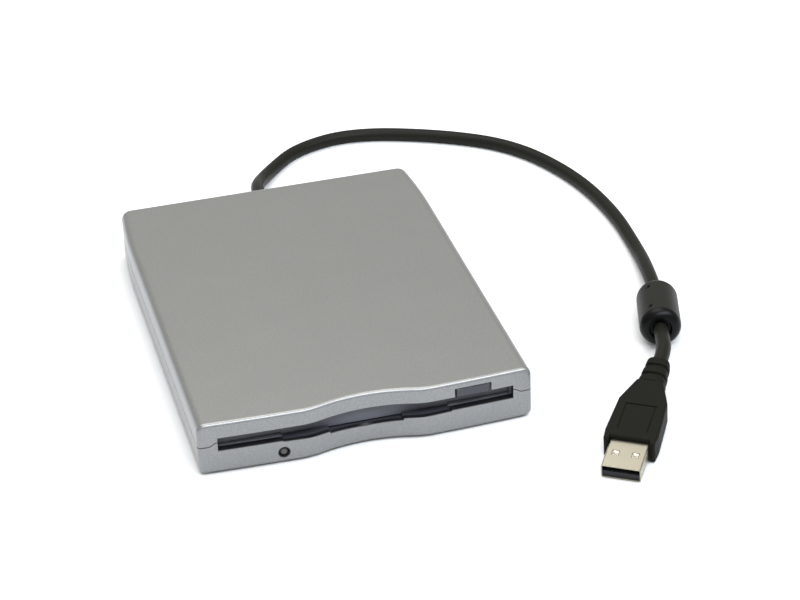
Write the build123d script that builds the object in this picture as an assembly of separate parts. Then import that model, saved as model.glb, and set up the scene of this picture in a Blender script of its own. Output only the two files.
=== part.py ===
from build123d import *
import os
from math import cos, degrees, pi, radians, sin, sqrt, tan

os.makedirs("parts", exist_ok=True)

# An external USB drive for 3.5 inch floppy disks. Millimetres; X to the right seen from the front,
# Y towards the back, Z up. The origin is on the table, under the middle of the case.

# ---------------------------------------------------------------- the disk that the drive takes
disk_width = 90.0
disk_length = 94.0
disk_thick = 3.3
hub_to_shutter_end = 46.0      # from the disk's hub to the edge that goes in first
track_zero_radius = 39.5       # outermost track
track_span = 14.8              # outermost track to innermost

# ---------------------------------------------------------------- case
case_width = 104.0
case_depth = 142.0
case_height = 17.2             # both covers, without the feet
wall = 1.6
floor_thick = 1.5
roof_thick = 1.5
bow_drop = 1.5                 # the front bows out: its corners lie this far behind its middle
scallop_depth = 3.2            # finger hollow in the middle of the front
scallop_radius = 50.0
blend_radius = 20.0            # rounds the bow into the hollow
taper_length = 29.0            # the sides draw in over this length, up to the back
taper_in = 1.8
rear_corner_radius = 3.5
top_side_round = 2.8
bottom_side_round = 2.0
front_round = 1.2
front_zone = 11.0              # the front wall lies in this depth
seam_z = 10.0                  # the covers meet here along the sides and the back
seam_front_z = 11.2            # and here at the ends of the slot
seam_reveal = 0.3              # open line between the covers
seam_run = 3.0                 # width of the seam's S bend beside the slot
tongue_thick = 0.75            # inner half of the wall, which laps into the top cover
tongue_rise = 1.3
tongue_gap = 0.1
foot_height = 0.8
foot_radius = 4.5
foot_recess = 0.4
foot_inset_x = 10.0
foot_inset_front = 13.0
foot_inset_back = 19.0

# ---------------------------------------------------------------- disk slot and door
disk_level = 8.3               # underside of a disk as it goes in, and the slot's lip
slot_height = 4.6
slot_side_gap = 1.0            # slot beyond the disk's edge
lip_step_x = 26.3              # the lip drops from here inwards
lip_step = 0.3
lip_slope = 0.5                # further fall of the lip between its two steps
lip_inner_x = 11.5
lip_inner_step = 0.6
lip_middle_fall = 0.4
door_gap = 0.2
door_thick = 0.9
door_barrel_radius = 0.7
door_open_gap = 0.65           # open door above a disk's top
door_pin_radius = 0.5
door_pin_play = 0.05
door_pin_depth = 1.3           # pin inside the bezel's ear
door_end_gap = 0.3
door_lower_gap = 0.4           # door's long edge above the lip
door_tab_drop = 1.3            # middle part of the door reaches this much lower
door_spring_room = 2.6
door_spring_wire = 0.2
door_spring_pitch = 0.35
bezel_fit = 0.1                # bezel behind the front wall
bezel_depth = 6.2
bezel_sill_thick = 1.8
bezel_sill_drop = 0.2          # sill below the lip
bezel_ear_thick = 1.7
bezel_bar_thick = 1.65
bezel_bar_depth = 1.8

# ---------------------------------------------------------------- eject button
button_width = 10.5
button_height = 3.25
button_x = 33.15
button_side_gap = 0.6
button_top_gap = 0.15
button_drop = 0.5              # button's lower edge below the slot's top
button_set_back = 0.05
button_depth = 4.0
button_round = 0.35
stalk_width = 6.0
stalk_thick = 0.8
stalk_length = 11.5
peg_radius = 1.0
peg_play = 0.05
peg_inset = 3.0                # peg in front of the stalk's end
eject_travel = 4.2

# ---------------------------------------------------------------- activity lamp
lamp_x = -26.2
lamp_z = 4.3
lamp_radius = 1.5
lamp_length = 4.6
lamp_ring_thick = 0.3
lamp_ring_length = 2.2
lamp_fit = 0.05
lamp_flange_thick = 0.8
lead_size = 0.45
lead_spacing = 2.54

# ---------------------------------------------------------------- mechanism
mech_lift = 0.6                # chassis above the floor of the case
chassis_sheet = 0.8
thin_sheet = 0.5
slide_gap = 0.2
disk_side_play = 0.3
bay_height = 4.4               # clear height inside the disk holder
lip_width = 3.8                # ledges that carry the disk's edges
drop = 2.4                     # the holder lowers the disk onto the spindle
lever_space = 0.6              # between the holder's roof and the slider
chassis_wall_top = 13.5
chassis_back_gap = 10.0        # from the case's back wall to the chassis
shield_gap = 0.5
shield_sheet = 0.4
guide_pin_radius = 0.75
guide_pin_play = 0.1
guide_pin_ahead = 27.87         # front guide pins, ahead of the spindle
guide_pin_behind = 30.13        # and the back ones behind it
guide_pin_z = 10.4
slider_tab_margin = 2.5
head_window = 9.0              # half width of the holder's opening for the heads
head_window_behind = 16.0      # its front edge, behind the spindle
holder_window_x = 24.0         # lightening windows in the holder's roof
holder_window_ahead = 12.0
holder_window_width = 22.0
holder_window_length = 26.0
slider_hole_x = 26.0           # and in the slider
slider_hole_ahead = 14.0
slider_hole_width = 24.0
slider_hole_length = 18.0
slider_ahead = 8.0             # slider's plate ahead of the front guide pins
slider_behind = 10.0           # and behind the back ones
slider_flange_behind = 13.0    # spring flange behind the slider's plate
slider_window = 12.0
shield_window = 9.0
shield_tab_length = 8.0
shield_tab_spread = 26.0
shield_tab_inset = 12.0
shield_tab_grip = 2.5          # tab beside the chassis wall

# ---------------------------------------------------------------- shutter lever
lever_pivot_x = -17.0
lever_pivot_behind = 42.13      # behind the spindle
lever_length = 27.0
lever_sheet = 0.4
lever_gap = 0.1
lever_boss_radius = 3.2
lever_arm_half = 1.7
lever_pivot_radius = 1.0
lever_pivot_play = 0.05
lever_pin_radius = 0.9
lever_pin_drop = 3.0           # tip pin below the holder's roof
lever_stud_rise = 1.6          # stud above the lever, for its spring
lever_spring_wire = 0.3
lever_spring_length = 1.3
lever_rest_angle = -100.0
lever_sweep = 90.0
lever_slot_play = 0.5

# ---------------------------------------------------------------- disk motor
board_thick = 0.6
motor_board_front = 28.0       # from the spindle to the motor board's front edge
motor_board_back = 20.0
motor_board_left = 34.0
motor_board_right = 24.0
coil_count = 9
coil_ring_radius = 14.0
coil_outer = 4.5
coil_inner = 2.2
coil_thick = 0.45
air_gap = 0.15
magnet_thick = 0.4
magnet_inner = 9.0
yoke_radius = 20.5
yoke_thick = 0.45
yoke_rim = 0.6
magnet_side_gap = 0.4
shaft_radius = 1.25
bush_radius = 3.0
bush_flange_radius = 4.0
bush_flange_thick = 0.5
bush_rise = 1.2
shaft_play = 0.04
press_gap = 0.03
thrust_thick = 0.4
thrust_radius = 4.0
chuck_radius = 11.0
chuck_thick = 0.35
centre_pin_radius = 1.95
centre_pin_height = 1.6
drive_pin_radius = 1.1
drive_pin_circle = 8.8
drive_pin_height = 1.3

# ---------------------------------------------------------------- head carriage and its drive
carriage_front_gap = 23.5      # from the heads back to the carriage's body
carriage_length = 11.0
carriage_left = -11.0
carriage_right = 7.5
carriage_bottom_gap = 0.9
carriage_height = 4.4
lower_arm_half = 4.5
lower_arm_thick = 1.2
head_pad_half = 2.6
head_pad_length = 4.0
head_block_half = 3.2
medium_gap = 0.05
head_thick = 0.8
upper_arm_thick = 0.8
upper_arm_clear = 0.3          # loaded arm above the lowered disk
arm_hinge_back = 3.0           # hinge behind the front of the carriage's body
arm_hinge_rise = 0.9           # hinge above the loaded arm's underside
arm_barrel_radius = 1.2
arm_pin_radius = 0.75
arm_pin_play = 0.05
arm_ear_thick = 1.1
arm_ear_gap = 0.2
arm_lift_angle = 10.65
arm_spring_room = 2.6
arm_spring_wire = 0.2
arm_spring_pitch = 0.35
wing_ahead = 11.0              # the arm's lifting wing, in front of the hinge
wing_depth = 1.6
wing_thick = 0.8
lift_gap = 0.1                 # wing above the holder's lifting strip, at rest
lift_strip_gap = 0.4           # strip beside the carriage's ear
lift_strip_width = 2.5
guide_rod_radius = 1.25
guide_rod_x = -8.0
guide_rod_z = 7.0
rod_play = 0.05
screw_x = 14.0
screw_z = 8.4
screw_radius = 1.5
screw_pitch = 3.0
groove_radius = 0.45
screw_pivot_radius = 0.6
screw_shaft_radius = 0.75
needle_radius = 0.2
needle_depth = 0.2
needle_back = 1.2              # needle behind the front of the carriage's body
follower_half = 1.0
follower_gap = 0.5
lug_gap = 0.4
stepper_radius = 4.5
stepper_length = 8.3
stepper_wall = 0.8
stepper_air_gap = 0.3
flex_thick = 0.15
flex_height = 3.0

# ---------------------------------------------------------------- eject springs
spring_wire = 0.3
spring_radius = 1.75
spring_pitch = 1.5
spring_x = 43.6
spring_z = 11.2
spring_length = 14.5
spring_guide_radius = 0.9
spring_guide_length = 11.0
spring_plate_half = 2.0

# ---------------------------------------------------------------- sensors
sensor_x = 38.8
sensor_front = 11.0            # write protect and density switches behind the disk's rear edge
sensor_pitch = 7.5             # disk-in switch further back
sensor_width = 5.0
sensor_depth = 4.5
sensor_height = 1.9
plunger_radius = 0.6
plunger_play = 0.05
plunger_floor = 0.15           # the switch's own floor, under a pressed plunger
plunger_travel = 1.0
plunger_show = 1.3

# ---------------------------------------------------------------- boards
control_lift = 1.4
control_thick = 0.8
control_width = 33.0
control_depth = 24.5
control_back_gap = 1.4         # from the chassis's back wall
control_side_gap = 0.5
controller_inset = 14.0        # controller chip, from the board's right edge
controller_behind = 11.0       # and from its front edge
controller_length = 11.0
controller_width = 9.0
controller_thick = 1.4
capacitor_inset = 27.0
capacitor_pitch = 2.4
board_screw_radius = 0.8
board_screw_head = 1.5
board_screw_head_thick = 0.9
board_post_radius = 2.0
board_screw_inset = 3.0
usb_board_z = 4.4
usb_board_thick = 1.0
usb_board_width = 58.0
usb_board_depth = 6.8
usb_board_x = -4.0
wire_header_x = usb_board_x - 13.0
wire_header_height = 3.0
usb_board_front_gap = 1.0

# ---------------------------------------------------------------- case and mechanism screws
case_screw_x = 43.5
case_screw_back = 6.5          # in front of the case's back
case_boss_radius = 2.8
case_screw_radius = 1.0
case_screw_head_radius = 1.9
case_screw_head_thick = 1.5
case_screw_recess = 3.2
case_screw_grip = 4.5
screw_play = 0.1
mech_screw_x = 42.5
mech_screw_ahead = 17.87        # front pair, ahead of the spindle
mech_screw_back = 21.4          # back pair, in front of the chassis's back
mech_screw_head_radius = 1.9
mech_screw_head_thick = 1.1
mech_boss_radius = 3.0
mech_collar_radius = 2.0
mech_collar_rise = 1.1

# ---------------------------------------------------------------- cable
cable_diameter = 4.7
cable_exit_x = 0.5
cable_exit_z = 8.6
gland_length = 10.0
gland_root_radius = 3.75
gland_tip_radius = 3.0
gland_flange_radius = 5.0
gland_flange_thick = 1.6
gland_hole_play = 0.1
gland_groove = 0.45
gland_groove_width = 1.1
cable_inner_reach = 2.4        # jacket inside the case, from the back wall's inner face
bead_radius = 6.7
bead_length = 24.0
bead_near_round = 3.0
bead_far_round = 4.0           # the end away from the plug is rounder
bead_dot_radius = 0.6          # two marks of the mould's pins
bead_dot_deep = 0.6
bead_dot_places = (6.1, -6.6)  # from the bead's middle towards its far end
bead_dot_angle = 29.0          # from the top
bead_core_radius = 4.9
bead_core_length = 15.0
bead_recess_radius = 4.2
bead_recess = 1.3
plug_tilt = 7.0
plug_yaw = 32.9                # the tail points this far to the right of straight back
table_gap = 0.02               # bead and plug above the table
plug_nose_x = 66.3
plug_nose_y = -110.3
shell_width = 12.0
shell_height = 4.5
shell_sheet = 0.3
shell_show = 12.0
shell_hidden = 7.0
latch_hole = 2.2
latch_hole_x = 3.0
latch_hole_y = 5.2
tongue_block = 1.9
plug_body_length = 27.2
plug_body_width = 16.4
plug_body_thick = 8.0
plug_neck_width = 8.6
plug_arm_length = 1.6
plug_arm_gap = 0.25
plug_round = 0.9
plug_tip_round = 2.0           # arm tips, seen from the side
plug_front_round = 1.2         # grip's front edges above and below the shell
plug_panel_width = 9.6
plug_panel_length = 12.3
plug_panel_start = 3.2         # behind the grip's front
plug_groove = 0.5
plug_groove_deep = 0.3
plug_shoulder = 9.2
relief_length = 13.0
relief_tail_width = 6.8
relief_thick = 6.6
rib_depth = 0.5
rib_width = 1.3
rib_pitch = 2.7

# ---------------------------------------------------------------- levels and places that follow
floor_z = foot_height + floor_thick
roof_z = foot_height + case_height - roof_thick
top_z = foot_height + case_height
front_y = -case_depth / 2
back_y = case_depth / 2
half_width = case_width / 2
back_wall_y = back_y - wall

base_z = floor_z + mech_lift
deck_z = base_z + chassis_sheet
slot_half = disk_width / 2 + slot_side_gap
slot_top_z = disk_level + slot_height

holder_in = disk_width / 2 + disk_side_play
holder_out = holder_in + thin_sheet
slider_in = holder_out + slide_gap
slider_out = slider_in + thin_sheet
chassis_in = slider_out + slide_gap
chassis_out = chassis_in + chassis_sheet
holder_roof_z = disk_level + bay_height
holder_top_z = holder_roof_z + thin_sheet
slider_z = holder_top_z + lever_space
slider_top_z = slider_z + thin_sheet
shield_top_z = roof_z - shield_gap
shield_z = shield_top_z - shield_sheet

# Front outline: a wide bow, a hollow in its middle, and a round between the two on each side.
# The three centres are worked out for a bow whose foremost point is at y = 0, then moved.
bow_radius = (half_width**2 + bow_drop**2) / (2 * bow_drop)
_bow = bow_radius
_scallop = scallop_depth - scallop_radius
_reach_bow = bow_radius - blend_radius
_reach_scallop = scallop_radius + blend_radius
blend_rel_y = (_bow**2 - _scallop**2 - _reach_bow**2 + _reach_scallop**2) / (2 * (_bow - _scallop))
blend_x = sqrt(_reach_scallop**2 - (blend_rel_y - _scallop) ** 2)
front_shift = front_y - (blend_rel_y - blend_radius)
bow_centre = Vector(0, _bow + front_shift)
scallop_centre = Vector(0, _scallop + front_shift)
blend_centre = Vector(blend_x, blend_rel_y + front_shift)
scallop_y = scallop_depth + front_shift
taper_radius = (taper_length**2 + taper_in**2) / (2 * taper_in)
taper_y = back_y - taper_length

door_face_y = scallop_y + wall + door_gap
door_axis_y = door_face_y + door_barrel_radius
door_back_y = door_face_y + door_thick
door_axis_z = disk_level + disk_thick + door_open_gap + door_barrel_radius
door_low_z = disk_level + door_lower_gap
ear_in = slot_half - door_end_gap
door_half = ear_in - door_end_gap
bezel_back_y = door_face_y + bezel_depth

disk_trail_y = door_back_y + 1.2
disk_lead_y = disk_trail_y + disk_length
spindle_y = disk_lead_y - hub_to_shutter_end
head_y = spindle_y + track_zero_radius
holder_front_y = door_axis_y + (door_axis_z - door_low_z + door_tab_drop) + 0.4
holder_back_y = disk_lead_y + 0.5
chassis_back_y = back_wall_y - chassis_back_gap
guide_pin_ys = (spindle_y - guide_pin_ahead, spindle_y + guide_pin_behind)
lever_pivot_y = spindle_y + lever_pivot_behind
mech_screw_ys = (spindle_y - mech_screw_ahead, chassis_back_y - mech_screw_back)
slider_front_y = guide_pin_ys[0] - slider_ahead
slider_back_y = guide_pin_ys[1] + slider_behind

lowered_top_z = disk_level - drop + disk_thick
medium_z = disk_level - drop + disk_thick / 2
carriage_y = head_y + carriage_front_gap
carriage_z = deck_z + carriage_bottom_gap
upper_arm_z = lowered_top_z + upper_arm_clear
arm_hinge_y = carriage_y + arm_hinge_back
arm_hinge_z = upper_arm_z + arm_hinge_rise
lug_front_y = carriage_y - track_span - lug_gap - chassis_sheet
needle_y = carriage_y + needle_back
screw_mount_y = needle_y + follower_half + lug_gap
usb_board_y = chassis_back_y + usb_board_front_gap
cable_radius = cable_diameter / 2


# ---------------------------------------------------------------- helpers
def block(x0, x1, y0, y1, z0, z1):
    """Box between two opposite corners."""
    return Pos((x0 + x1) / 2, (y0 + y1) / 2, (z0 + z1) / 2) * Box(x1 - x0, y1 - y0, z1 - z0)


def rod_z(radius, x, y, z0, z1):
    """Upright cylinder from z0 to z1."""
    return Pos(x, y, (z0 + z1) / 2) * Cylinder(radius, z1 - z0)


def rod_y(radius, x, z, y0, y1):
    """Cylinder along Y from y0 to y1."""
    return Pos(x, (y0 + y1) / 2, z) * Rot(90, 0, 0) * Cylinder(radius, y1 - y0)


def rod_x(radius, y, z, x0, x1):
    """Cylinder along X from x0 to x1."""
    return Pos((x0 + x1) / 2, y, z) * Rot(0, 90, 0) * Cylinder(radius, x1 - x0)


def tube_z(outer, inner, x, y, z0, z1):
    """Upright ring."""
    return rod_z(outer, x, y, z0, z1) - rod_z(inner, x, y, z0 - 1, z1 + 1)


def prism(points, z0, z1):
    """Upright prism on a polygon of X, Y points."""
    face = Face(Wire.make_polygon([Vector(x, y, z0) for x, y in points]))
    return extrude(face, amount=z1 - z0, dir=(0, 0, 1))


def profile_y(points, y0, y1):
    """Prism along Y on a polygon of X, Z points."""
    face = Face(Wire.make_polygon([Vector(x, y0, z) for x, z in points]))
    return extrude(face, amount=y1 - y0, dir=(0, 1, 0))


def coil_spring(radius, wire, pitch, length, place):
    """Coil of round wire, of the given length between its end faces, set on a location's Z axis."""
    turns_length = length - wire
    path = Helix(pitch=pitch, height=turns_length, radius=radius, center=(0, 0, wire / 2))
    section = Plane(origin=path @ 0, z_dir=path % 0) * Circle(wire / 2)
    return place * sweep(section, path=path)


def both_sides(part):
    """The part and its mirror image in the YZ plane, joined where they touch."""
    return part + mirror(part, Plane.YZ)


def arc_about(centre, start, end):
    """Shorter arc from start to end about a centre."""
    radius = (start - centre).length
    middle = centre + ((start + end) * 0.5 - centre).normalized() * radius
    return ThreePointArc(start, middle, end)


# ---------------------------------------------------------------- case
def bow_point(x, inset=0.0):
    """Point of the bow at x, on the outline drawn in by inset."""
    return Vector(x, bow_centre.Y - sqrt((bow_radius - inset) ** 2 - x**2))


def case_outline(inset, z):
    """Face of the case's plan, drawn in by inset, at height z."""
    to_left = Vector(-1, 1)
    corner = bow_point(half_width - inset, inset)
    bow_out = (blend_centre - bow_centre).normalized()
    on_bow = bow_centre + bow_out * (bow_radius - inset)
    scallop_out = (blend_centre - scallop_centre).normalized()
    on_scallop = scallop_centre + scallop_out * (scallop_radius + inset)
    taper_start = Vector(half_width - inset, taper_y)
    taper_centre = Vector(half_width - taper_radius, taper_y)
    end_y = back_y - inset
    end_x = taper_centre.X + sqrt((taper_radius - inset) ** 2 - (end_y - taper_y) ** 2)
    taper_end = Vector(end_x, end_y)

    def flipped(p):
        return Vector(p.X * to_left.X, p.Y)

    blend_left = flipped(blend_centre)
    edges = [
        arc_about(scallop_centre, flipped(on_scallop), on_scallop),
        arc_about(blend_centre, on_scallop, on_bow),
        arc_about(bow_centre, on_bow, corner),
        Line(corner, taper_start),
        arc_about(taper_centre, taper_start, taper_end),
        Line(taper_end, flipped(taper_end)),
        arc_about(flipped(taper_centre), flipped(taper_end), flipped(taper_start)),
        Line(flipped(taper_start), flipped(corner)),
        arc_about(bow_centre, flipped(corner), flipped(on_bow)),
        arc_about(blend_left, flipped(on_bow), flipped(on_scallop)),
    ]
    return Pos(0, 0, z) * Face(Wire(edges))


def case_body():
    """Solid outer shape of both covers together, with every outer round."""
    body = extrude(case_outline(0, foot_height), amount=case_height, dir=(0, 0, 1))
    upright = [e for e in body.edges().filter_by(Axis.Z) if e.center().Y > back_y - 1]
    body = fillet(upright, rear_corner_radius)
    behind = front_y + 3 * scallop_depth
    rim = [e for e in body.edges() if e.center().Z > top_z - 0.01 and e.center().Y > behind]
    body = fillet(rim, top_side_round)
    sole = [e for e in body.edges() if e.center().Z < foot_height + 0.01 and e.center().Y > behind]
    body = fillet(sole, bottom_side_round)

    def on_front_rim(edge):
        middle = edge.center()
        inner_upright = edge.geom_type == GeomType.LINE and abs(middle.X) < half_width - 0.5
        return middle.Y < front_y + scallop_depth + bow_drop and not inner_upright

    return fillet([e for e in body.edges() if on_front_rim(e)], front_round)


def case_hollow(inset, z0, z1, upper_round=0.0):
    """Space inside the covers, from z0 to z1."""
    hollow = extrude(case_outline(inset, z0), amount=z1 - z0, dir=(0, 0, 1))
    upright = [e for e in hollow.edges().filter_by(Axis.Z) if e.center().Y > back_y - 3]
    hollow = fillet(upright, rear_corner_radius - inset)
    if upper_round > 0:
        rim = [e for e in hollow.edges() if e.center().Z > z1 - 0.01 and e.center().Y > front_y + front_zone]
        hollow = fillet(rim, upper_round)
    return hollow


def below_seam(lift):
    """Everything under the seam, raised by lift. The seam steps up at the ends of the slot."""
    margin = 10.0
    low = block(
        -half_width - margin, half_width + margin, front_y - margin, back_y + margin,
        -margin, seam_z + lift,
    )
    bend_out = slot_half + seam_run
    step = seam_front_z - seam_z
    middle = Vector(slot_half + seam_run / 2, 0, seam_z + step / 2 + lift)
    top = Vector(slot_half, 0, seam_front_z + lift)
    foot = Vector(bend_out, 0, seam_z + lift)
    upper = Spline(top, middle, foot, tangents=((1, 0, 0), (1, 0, 0)))
    under = Vector(bend_out, 0, seam_z - 1)
    edges = [
        upper,
        Line(foot, under),
        Line(under, Vector(0, 0, seam_z - 1)),
        Line(Vector(0, 0, seam_z - 1), Vector(0, 0, seam_front_z + lift)),
        Line(Vector(0, 0, seam_front_z + lift), top),
    ]
    raised = extrude(Pos(0, front_y - margin, 0) * Face(Wire(edges)), amount=2 * margin, dir=(0, 1, 0))
    return low + both_sides(raised)


def tongue_core(inset):
    """Space inside the lap's outer face, from below the seam up to the tongue's top."""
    core = case_hollow(inset, floor_z, seam_z + tongue_rise)
    return core - block(-half_width, half_width, front_y - 1, front_y + 2 * bezel_depth, 0, top_z)


def slot_cut():
    """Opening for the disk through the front wall, with its stepped lip."""
    first = disk_level - lip_step
    second = first - lip_slope
    inner = second - lip_inner_step
    half = [
        (slot_half, slot_top_z),
        (slot_half, disk_level),
        (lip_step_x, disk_level),
        (lip_step_x, first),
        (lip_inner_x, second),
        (lip_inner_x, inner),
        (0, inner - lip_middle_fall),
    ]
    points = half + [(-x, z) for x, z in reversed(half[:-1])]
    return profile_y(points, front_y - 5, door_face_y)


def button_cut():
    """Notch for the eject button, open to the slot below."""
    left = button_x - button_width / 2 - button_side_gap
    right = button_x + button_width / 2 + button_side_gap
    top = slot_top_z - button_drop + button_height + button_top_gap
    return block(left, right, front_y - 5, door_face_y, disk_level + 1, top)


def gland_cut():
    """Round hole for the cable gland, shared by both covers."""
    radius = gland_root_radius + gland_hole_play
    return rod_y(radius, cable_exit_x, cable_exit_z, back_wall_y - 3, back_y + 1)


def case_screw_places():
    y = back_y - case_screw_back
    return [(-case_screw_x, y), (case_screw_x, y)]


def mech_screw_places():
    return [(side * mech_screw_x, y) for side in (-1, 1) for y in mech_screw_ys]


def foot_places():
    x = half_width - foot_inset_x
    ys = (front_y + foot_inset_front, back_y - foot_inset_back)
    return [(side * x, y) for side in (-1, 1) for y in ys]


def top_cover(shell):
    cover = shell - below_seam(seam_reveal) - tongue_core(wall - tongue_thick - tongue_gap)
    for x, y in case_screw_places():
        boss = rod_z(case_boss_radius, x, y, seam_z, roof_z + 0.5)
        hole_top = seam_z + case_screw_grip + 0.5
        cover += boss - rod_z(case_screw_radius + screw_play, x, y, seam_z - 1, hole_top)
    return cover - slot_cut() - button_cut() - gland_cut()


def bottom_cover(shell):
    cover = shell & (below_seam(0) + tongue_core(wall - tongue_thick))
    for x, y in mech_screw_places():
        cover += rod_z(mech_boss_radius, x, y, floor_z - 0.5, base_z)
    for x, y in case_screw_places():
        cover += rod_z(case_boss_radius, x, y, floor_z - 0.5, seam_z)
    for x, y in usb_screw_places():
        cover += rod_z(board_post_radius, x, y, floor_z - 0.5, usb_board_z)
    for x, y in mech_screw_places():
        cover -= rod_z(mech_screw_head_radius + screw_play, x, y, 0, foot_height + mech_screw_head_thick)
        cover -= rod_z(case_screw_radius + screw_play, x, y, 0, base_z + 1)
    for x, y in case_screw_places():
        cover -= rod_z(case_screw_head_radius + screw_play, x, y, 0, foot_height + case_screw_recess)
        cover -= rod_z(case_screw_radius + screw_play, x, y, 0, seam_z + 1)
    for x, y in usb_screw_places():
        cover -= rod_z(board_screw_radius + 0.05, x, y, floor_z + 0.3, usb_board_z + 1)
    for x, y in foot_places():
        cover -= rod_z(foot_radius + 0.05, x, y, 0, foot_height + foot_recess)
    ring_hole = lamp_radius + lamp_ring_thick + lamp_fit * 2
    lamp_hole = rod_y(ring_hole, lamp_x, lamp_z, front_y - 1, front_y + 4)
    return cover - slot_cut() - gland_cut() - lamp_hole


def rubber_feet():
    feet = []
    for x, y in foot_places():
        foot = rod_z(foot_radius, x, y, 0, foot_height + foot_recess)
        feet.append(fillet(foot.edges().sort_by(Axis.Z)[0], 0.3))
    return feet


def pan_screw(x, y, z_head, head_radius, head_thick, radius, length):
    """Screw driven upwards: a round head with a cross recess, and a plain shank."""
    neck_z = z_head + head_thick
    head = rod_z(head_radius, x, y, z_head, neck_z)
    head = chamfer(head.edges().sort_by(Axis.Z)[0], head_thick * 0.3)
    slot_long, slot_wide, slot_deep = head_radius * 1.1, head_radius * 0.28, head_thick * 0.5
    cross = Box(slot_long, slot_wide, 2 * slot_deep) + Box(slot_wide, slot_long, 2 * slot_deep)
    return head - Pos(x, y, z_head) * cross + rod_z(radius, x, y, neck_z, neck_z + length)


def case_screws():
    z = foot_height + case_screw_recess - case_screw_head_thick
    length = seam_z - (foot_height + case_screw_recess) + case_screw_grip
    return [
        pan_screw(x, y, z, case_screw_head_radius, case_screw_head_thick, case_screw_radius, length)
        for x, y in case_screw_places()
    ]


def mechanism_screws():
    z = foot_height + 0.05
    length = deck_z + mech_collar_rise - 0.1 - (foot_height + mech_screw_head_thick)
    return [
        pan_screw(x, y, z, mech_screw_head_radius, mech_screw_head_thick - 0.05, case_screw_radius, length)
        for x, y in mech_screw_places()
    ]


# ---------------------------------------------------------------- front: bezel, door, button, lamp
def front_bezel():
    """Black frame behind the slot: a sill, two ears with the door's bearings, and a bar on top."""
    sill_top = disk_level - bezel_sill_drop
    sill_low = sill_top - bezel_sill_thick
    out = ear_in + bezel_ear_thick
    plan = case_outline(wall + bezel_fit, sill_low)
    sill = extrude(plan, amount=bezel_sill_thick, dir=(0, 0, 1))
    sill &= block(-out, out, front_y, bezel_back_y, sill_low, sill_top)
    hollow_z = sill_top - door_tab_drop
    middle = block(-lip_step_x, lip_step_x, door_face_y - 0.3, bezel_back_y + 1, hollow_z, sill_top + 1)
    mouth = block(-lip_inner_x, lip_inner_x, front_y, bezel_back_y + 1, hollow_z, sill_top + 1)
    sill = sill - middle - mouth
    ear_low, ear_top = deck_z + 0.2, door_axis_z + door_barrel_radius + 0.2 + bezel_bar_thick
    ear = block(ear_in, out, door_face_y, bezel_back_y, ear_low, ear_top)
    bearing_end = ear_in + door_pin_depth + 0.1
    ear -= rod_x(door_pin_radius + door_pin_play, door_axis_y, door_axis_z, ear_in - 1, bearing_end)
    bar_low = ear_top - bezel_bar_thick
    bar = block(-out, out, door_face_y, door_face_y + bezel_bar_depth, bar_low, ear_top)
    gate = stalk_width / 2 + 1.2
    bar -= block(button_x - gate, button_x + gate, front_y, bezel_back_y, bar_low - 1, ear_top + 1)
    return sill + both_sides(ear) + bar


def door_flap():
    """Door hung on two pins along its top edge; its middle reaches down to the lowered lip."""
    tab_half = lip_step_x - 0.3
    plate = block(-door_half, door_half, door_face_y, door_back_y, door_low_z, door_axis_z)
    plate += block(-tab_half, tab_half, door_face_y, door_back_y, door_low_z - door_tab_drop, door_low_z)
    barrel = rod_x(door_barrel_radius, door_axis_y, door_axis_z, -door_half, door_half)
    flap = plate + barrel
    room = block(
        -door_half - 1, -door_half + door_spring_room, door_face_y - 1, door_back_y + 1,
        door_axis_z - door_barrel_radius - 0.6, door_axis_z + 2,
    )
    flap -= room
    pin_end = ear_in + door_pin_depth
    flap += rod_x(door_pin_radius, door_axis_y, door_axis_z, -pin_end, -door_half + door_spring_room)
    flap += rod_x(door_pin_radius, door_axis_y, door_axis_z, door_half, pin_end)
    low = [e for e in flap.edges().filter_by(Axis.X) if e.center().Z < door_low_z - door_tab_drop + 0.01]
    return fillet(low, 0.25)


def door_spring():
    """Small coil on the door's left pin."""
    length = door_spring_room - 0.3
    start = -door_half + 0.1
    place = Location(Plane(origin=(start, door_axis_y, door_axis_z), z_dir=(1, 0, 0)))
    radius = door_pin_radius + door_spring_wire / 2 + 0.1
    return coil_spring(radius, door_spring_wire, door_spring_pitch, length, place)


def eject_button():
    low = slot_top_z - button_drop
    left, right = button_x - button_width / 2, button_x + button_width / 2
    front = extrude(case_outline(button_set_back, low), amount=button_height, dir=(0, 0, 1))
    rear_y = bow_point(button_x).Y + button_depth
    head = front & block(left, right, front_y - 1, rear_y, low, low + button_height)
    head = fillet([e for e in head.edges() if e.center().Y < rear_y - button_depth / 2 - 0.5], button_round)
    stalk = block(
        button_x - stalk_width / 2, button_x + stalk_width / 2, rear_y - 0.5, rear_y + stalk_length,
        slider_top_z, slider_top_z + stalk_thick,
    )
    peg = rod_z(peg_radius, button_x, rear_y + stalk_length - peg_inset, slider_z - 0.05, slider_top_z + 0.1)
    return head + stalk + peg


def lamp_ring():
    face_y = bow_point(abs(lamp_x)).Y + 0.1
    outer = lamp_radius + lamp_fit + lamp_ring_thick
    ring = rod_y(outer, lamp_x, lamp_z, face_y, face_y + lamp_ring_length)
    ring -= rod_y(lamp_radius + lamp_fit, lamp_x, lamp_z, face_y - 1, face_y + lamp_ring_length + 1)
    return ring


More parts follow.
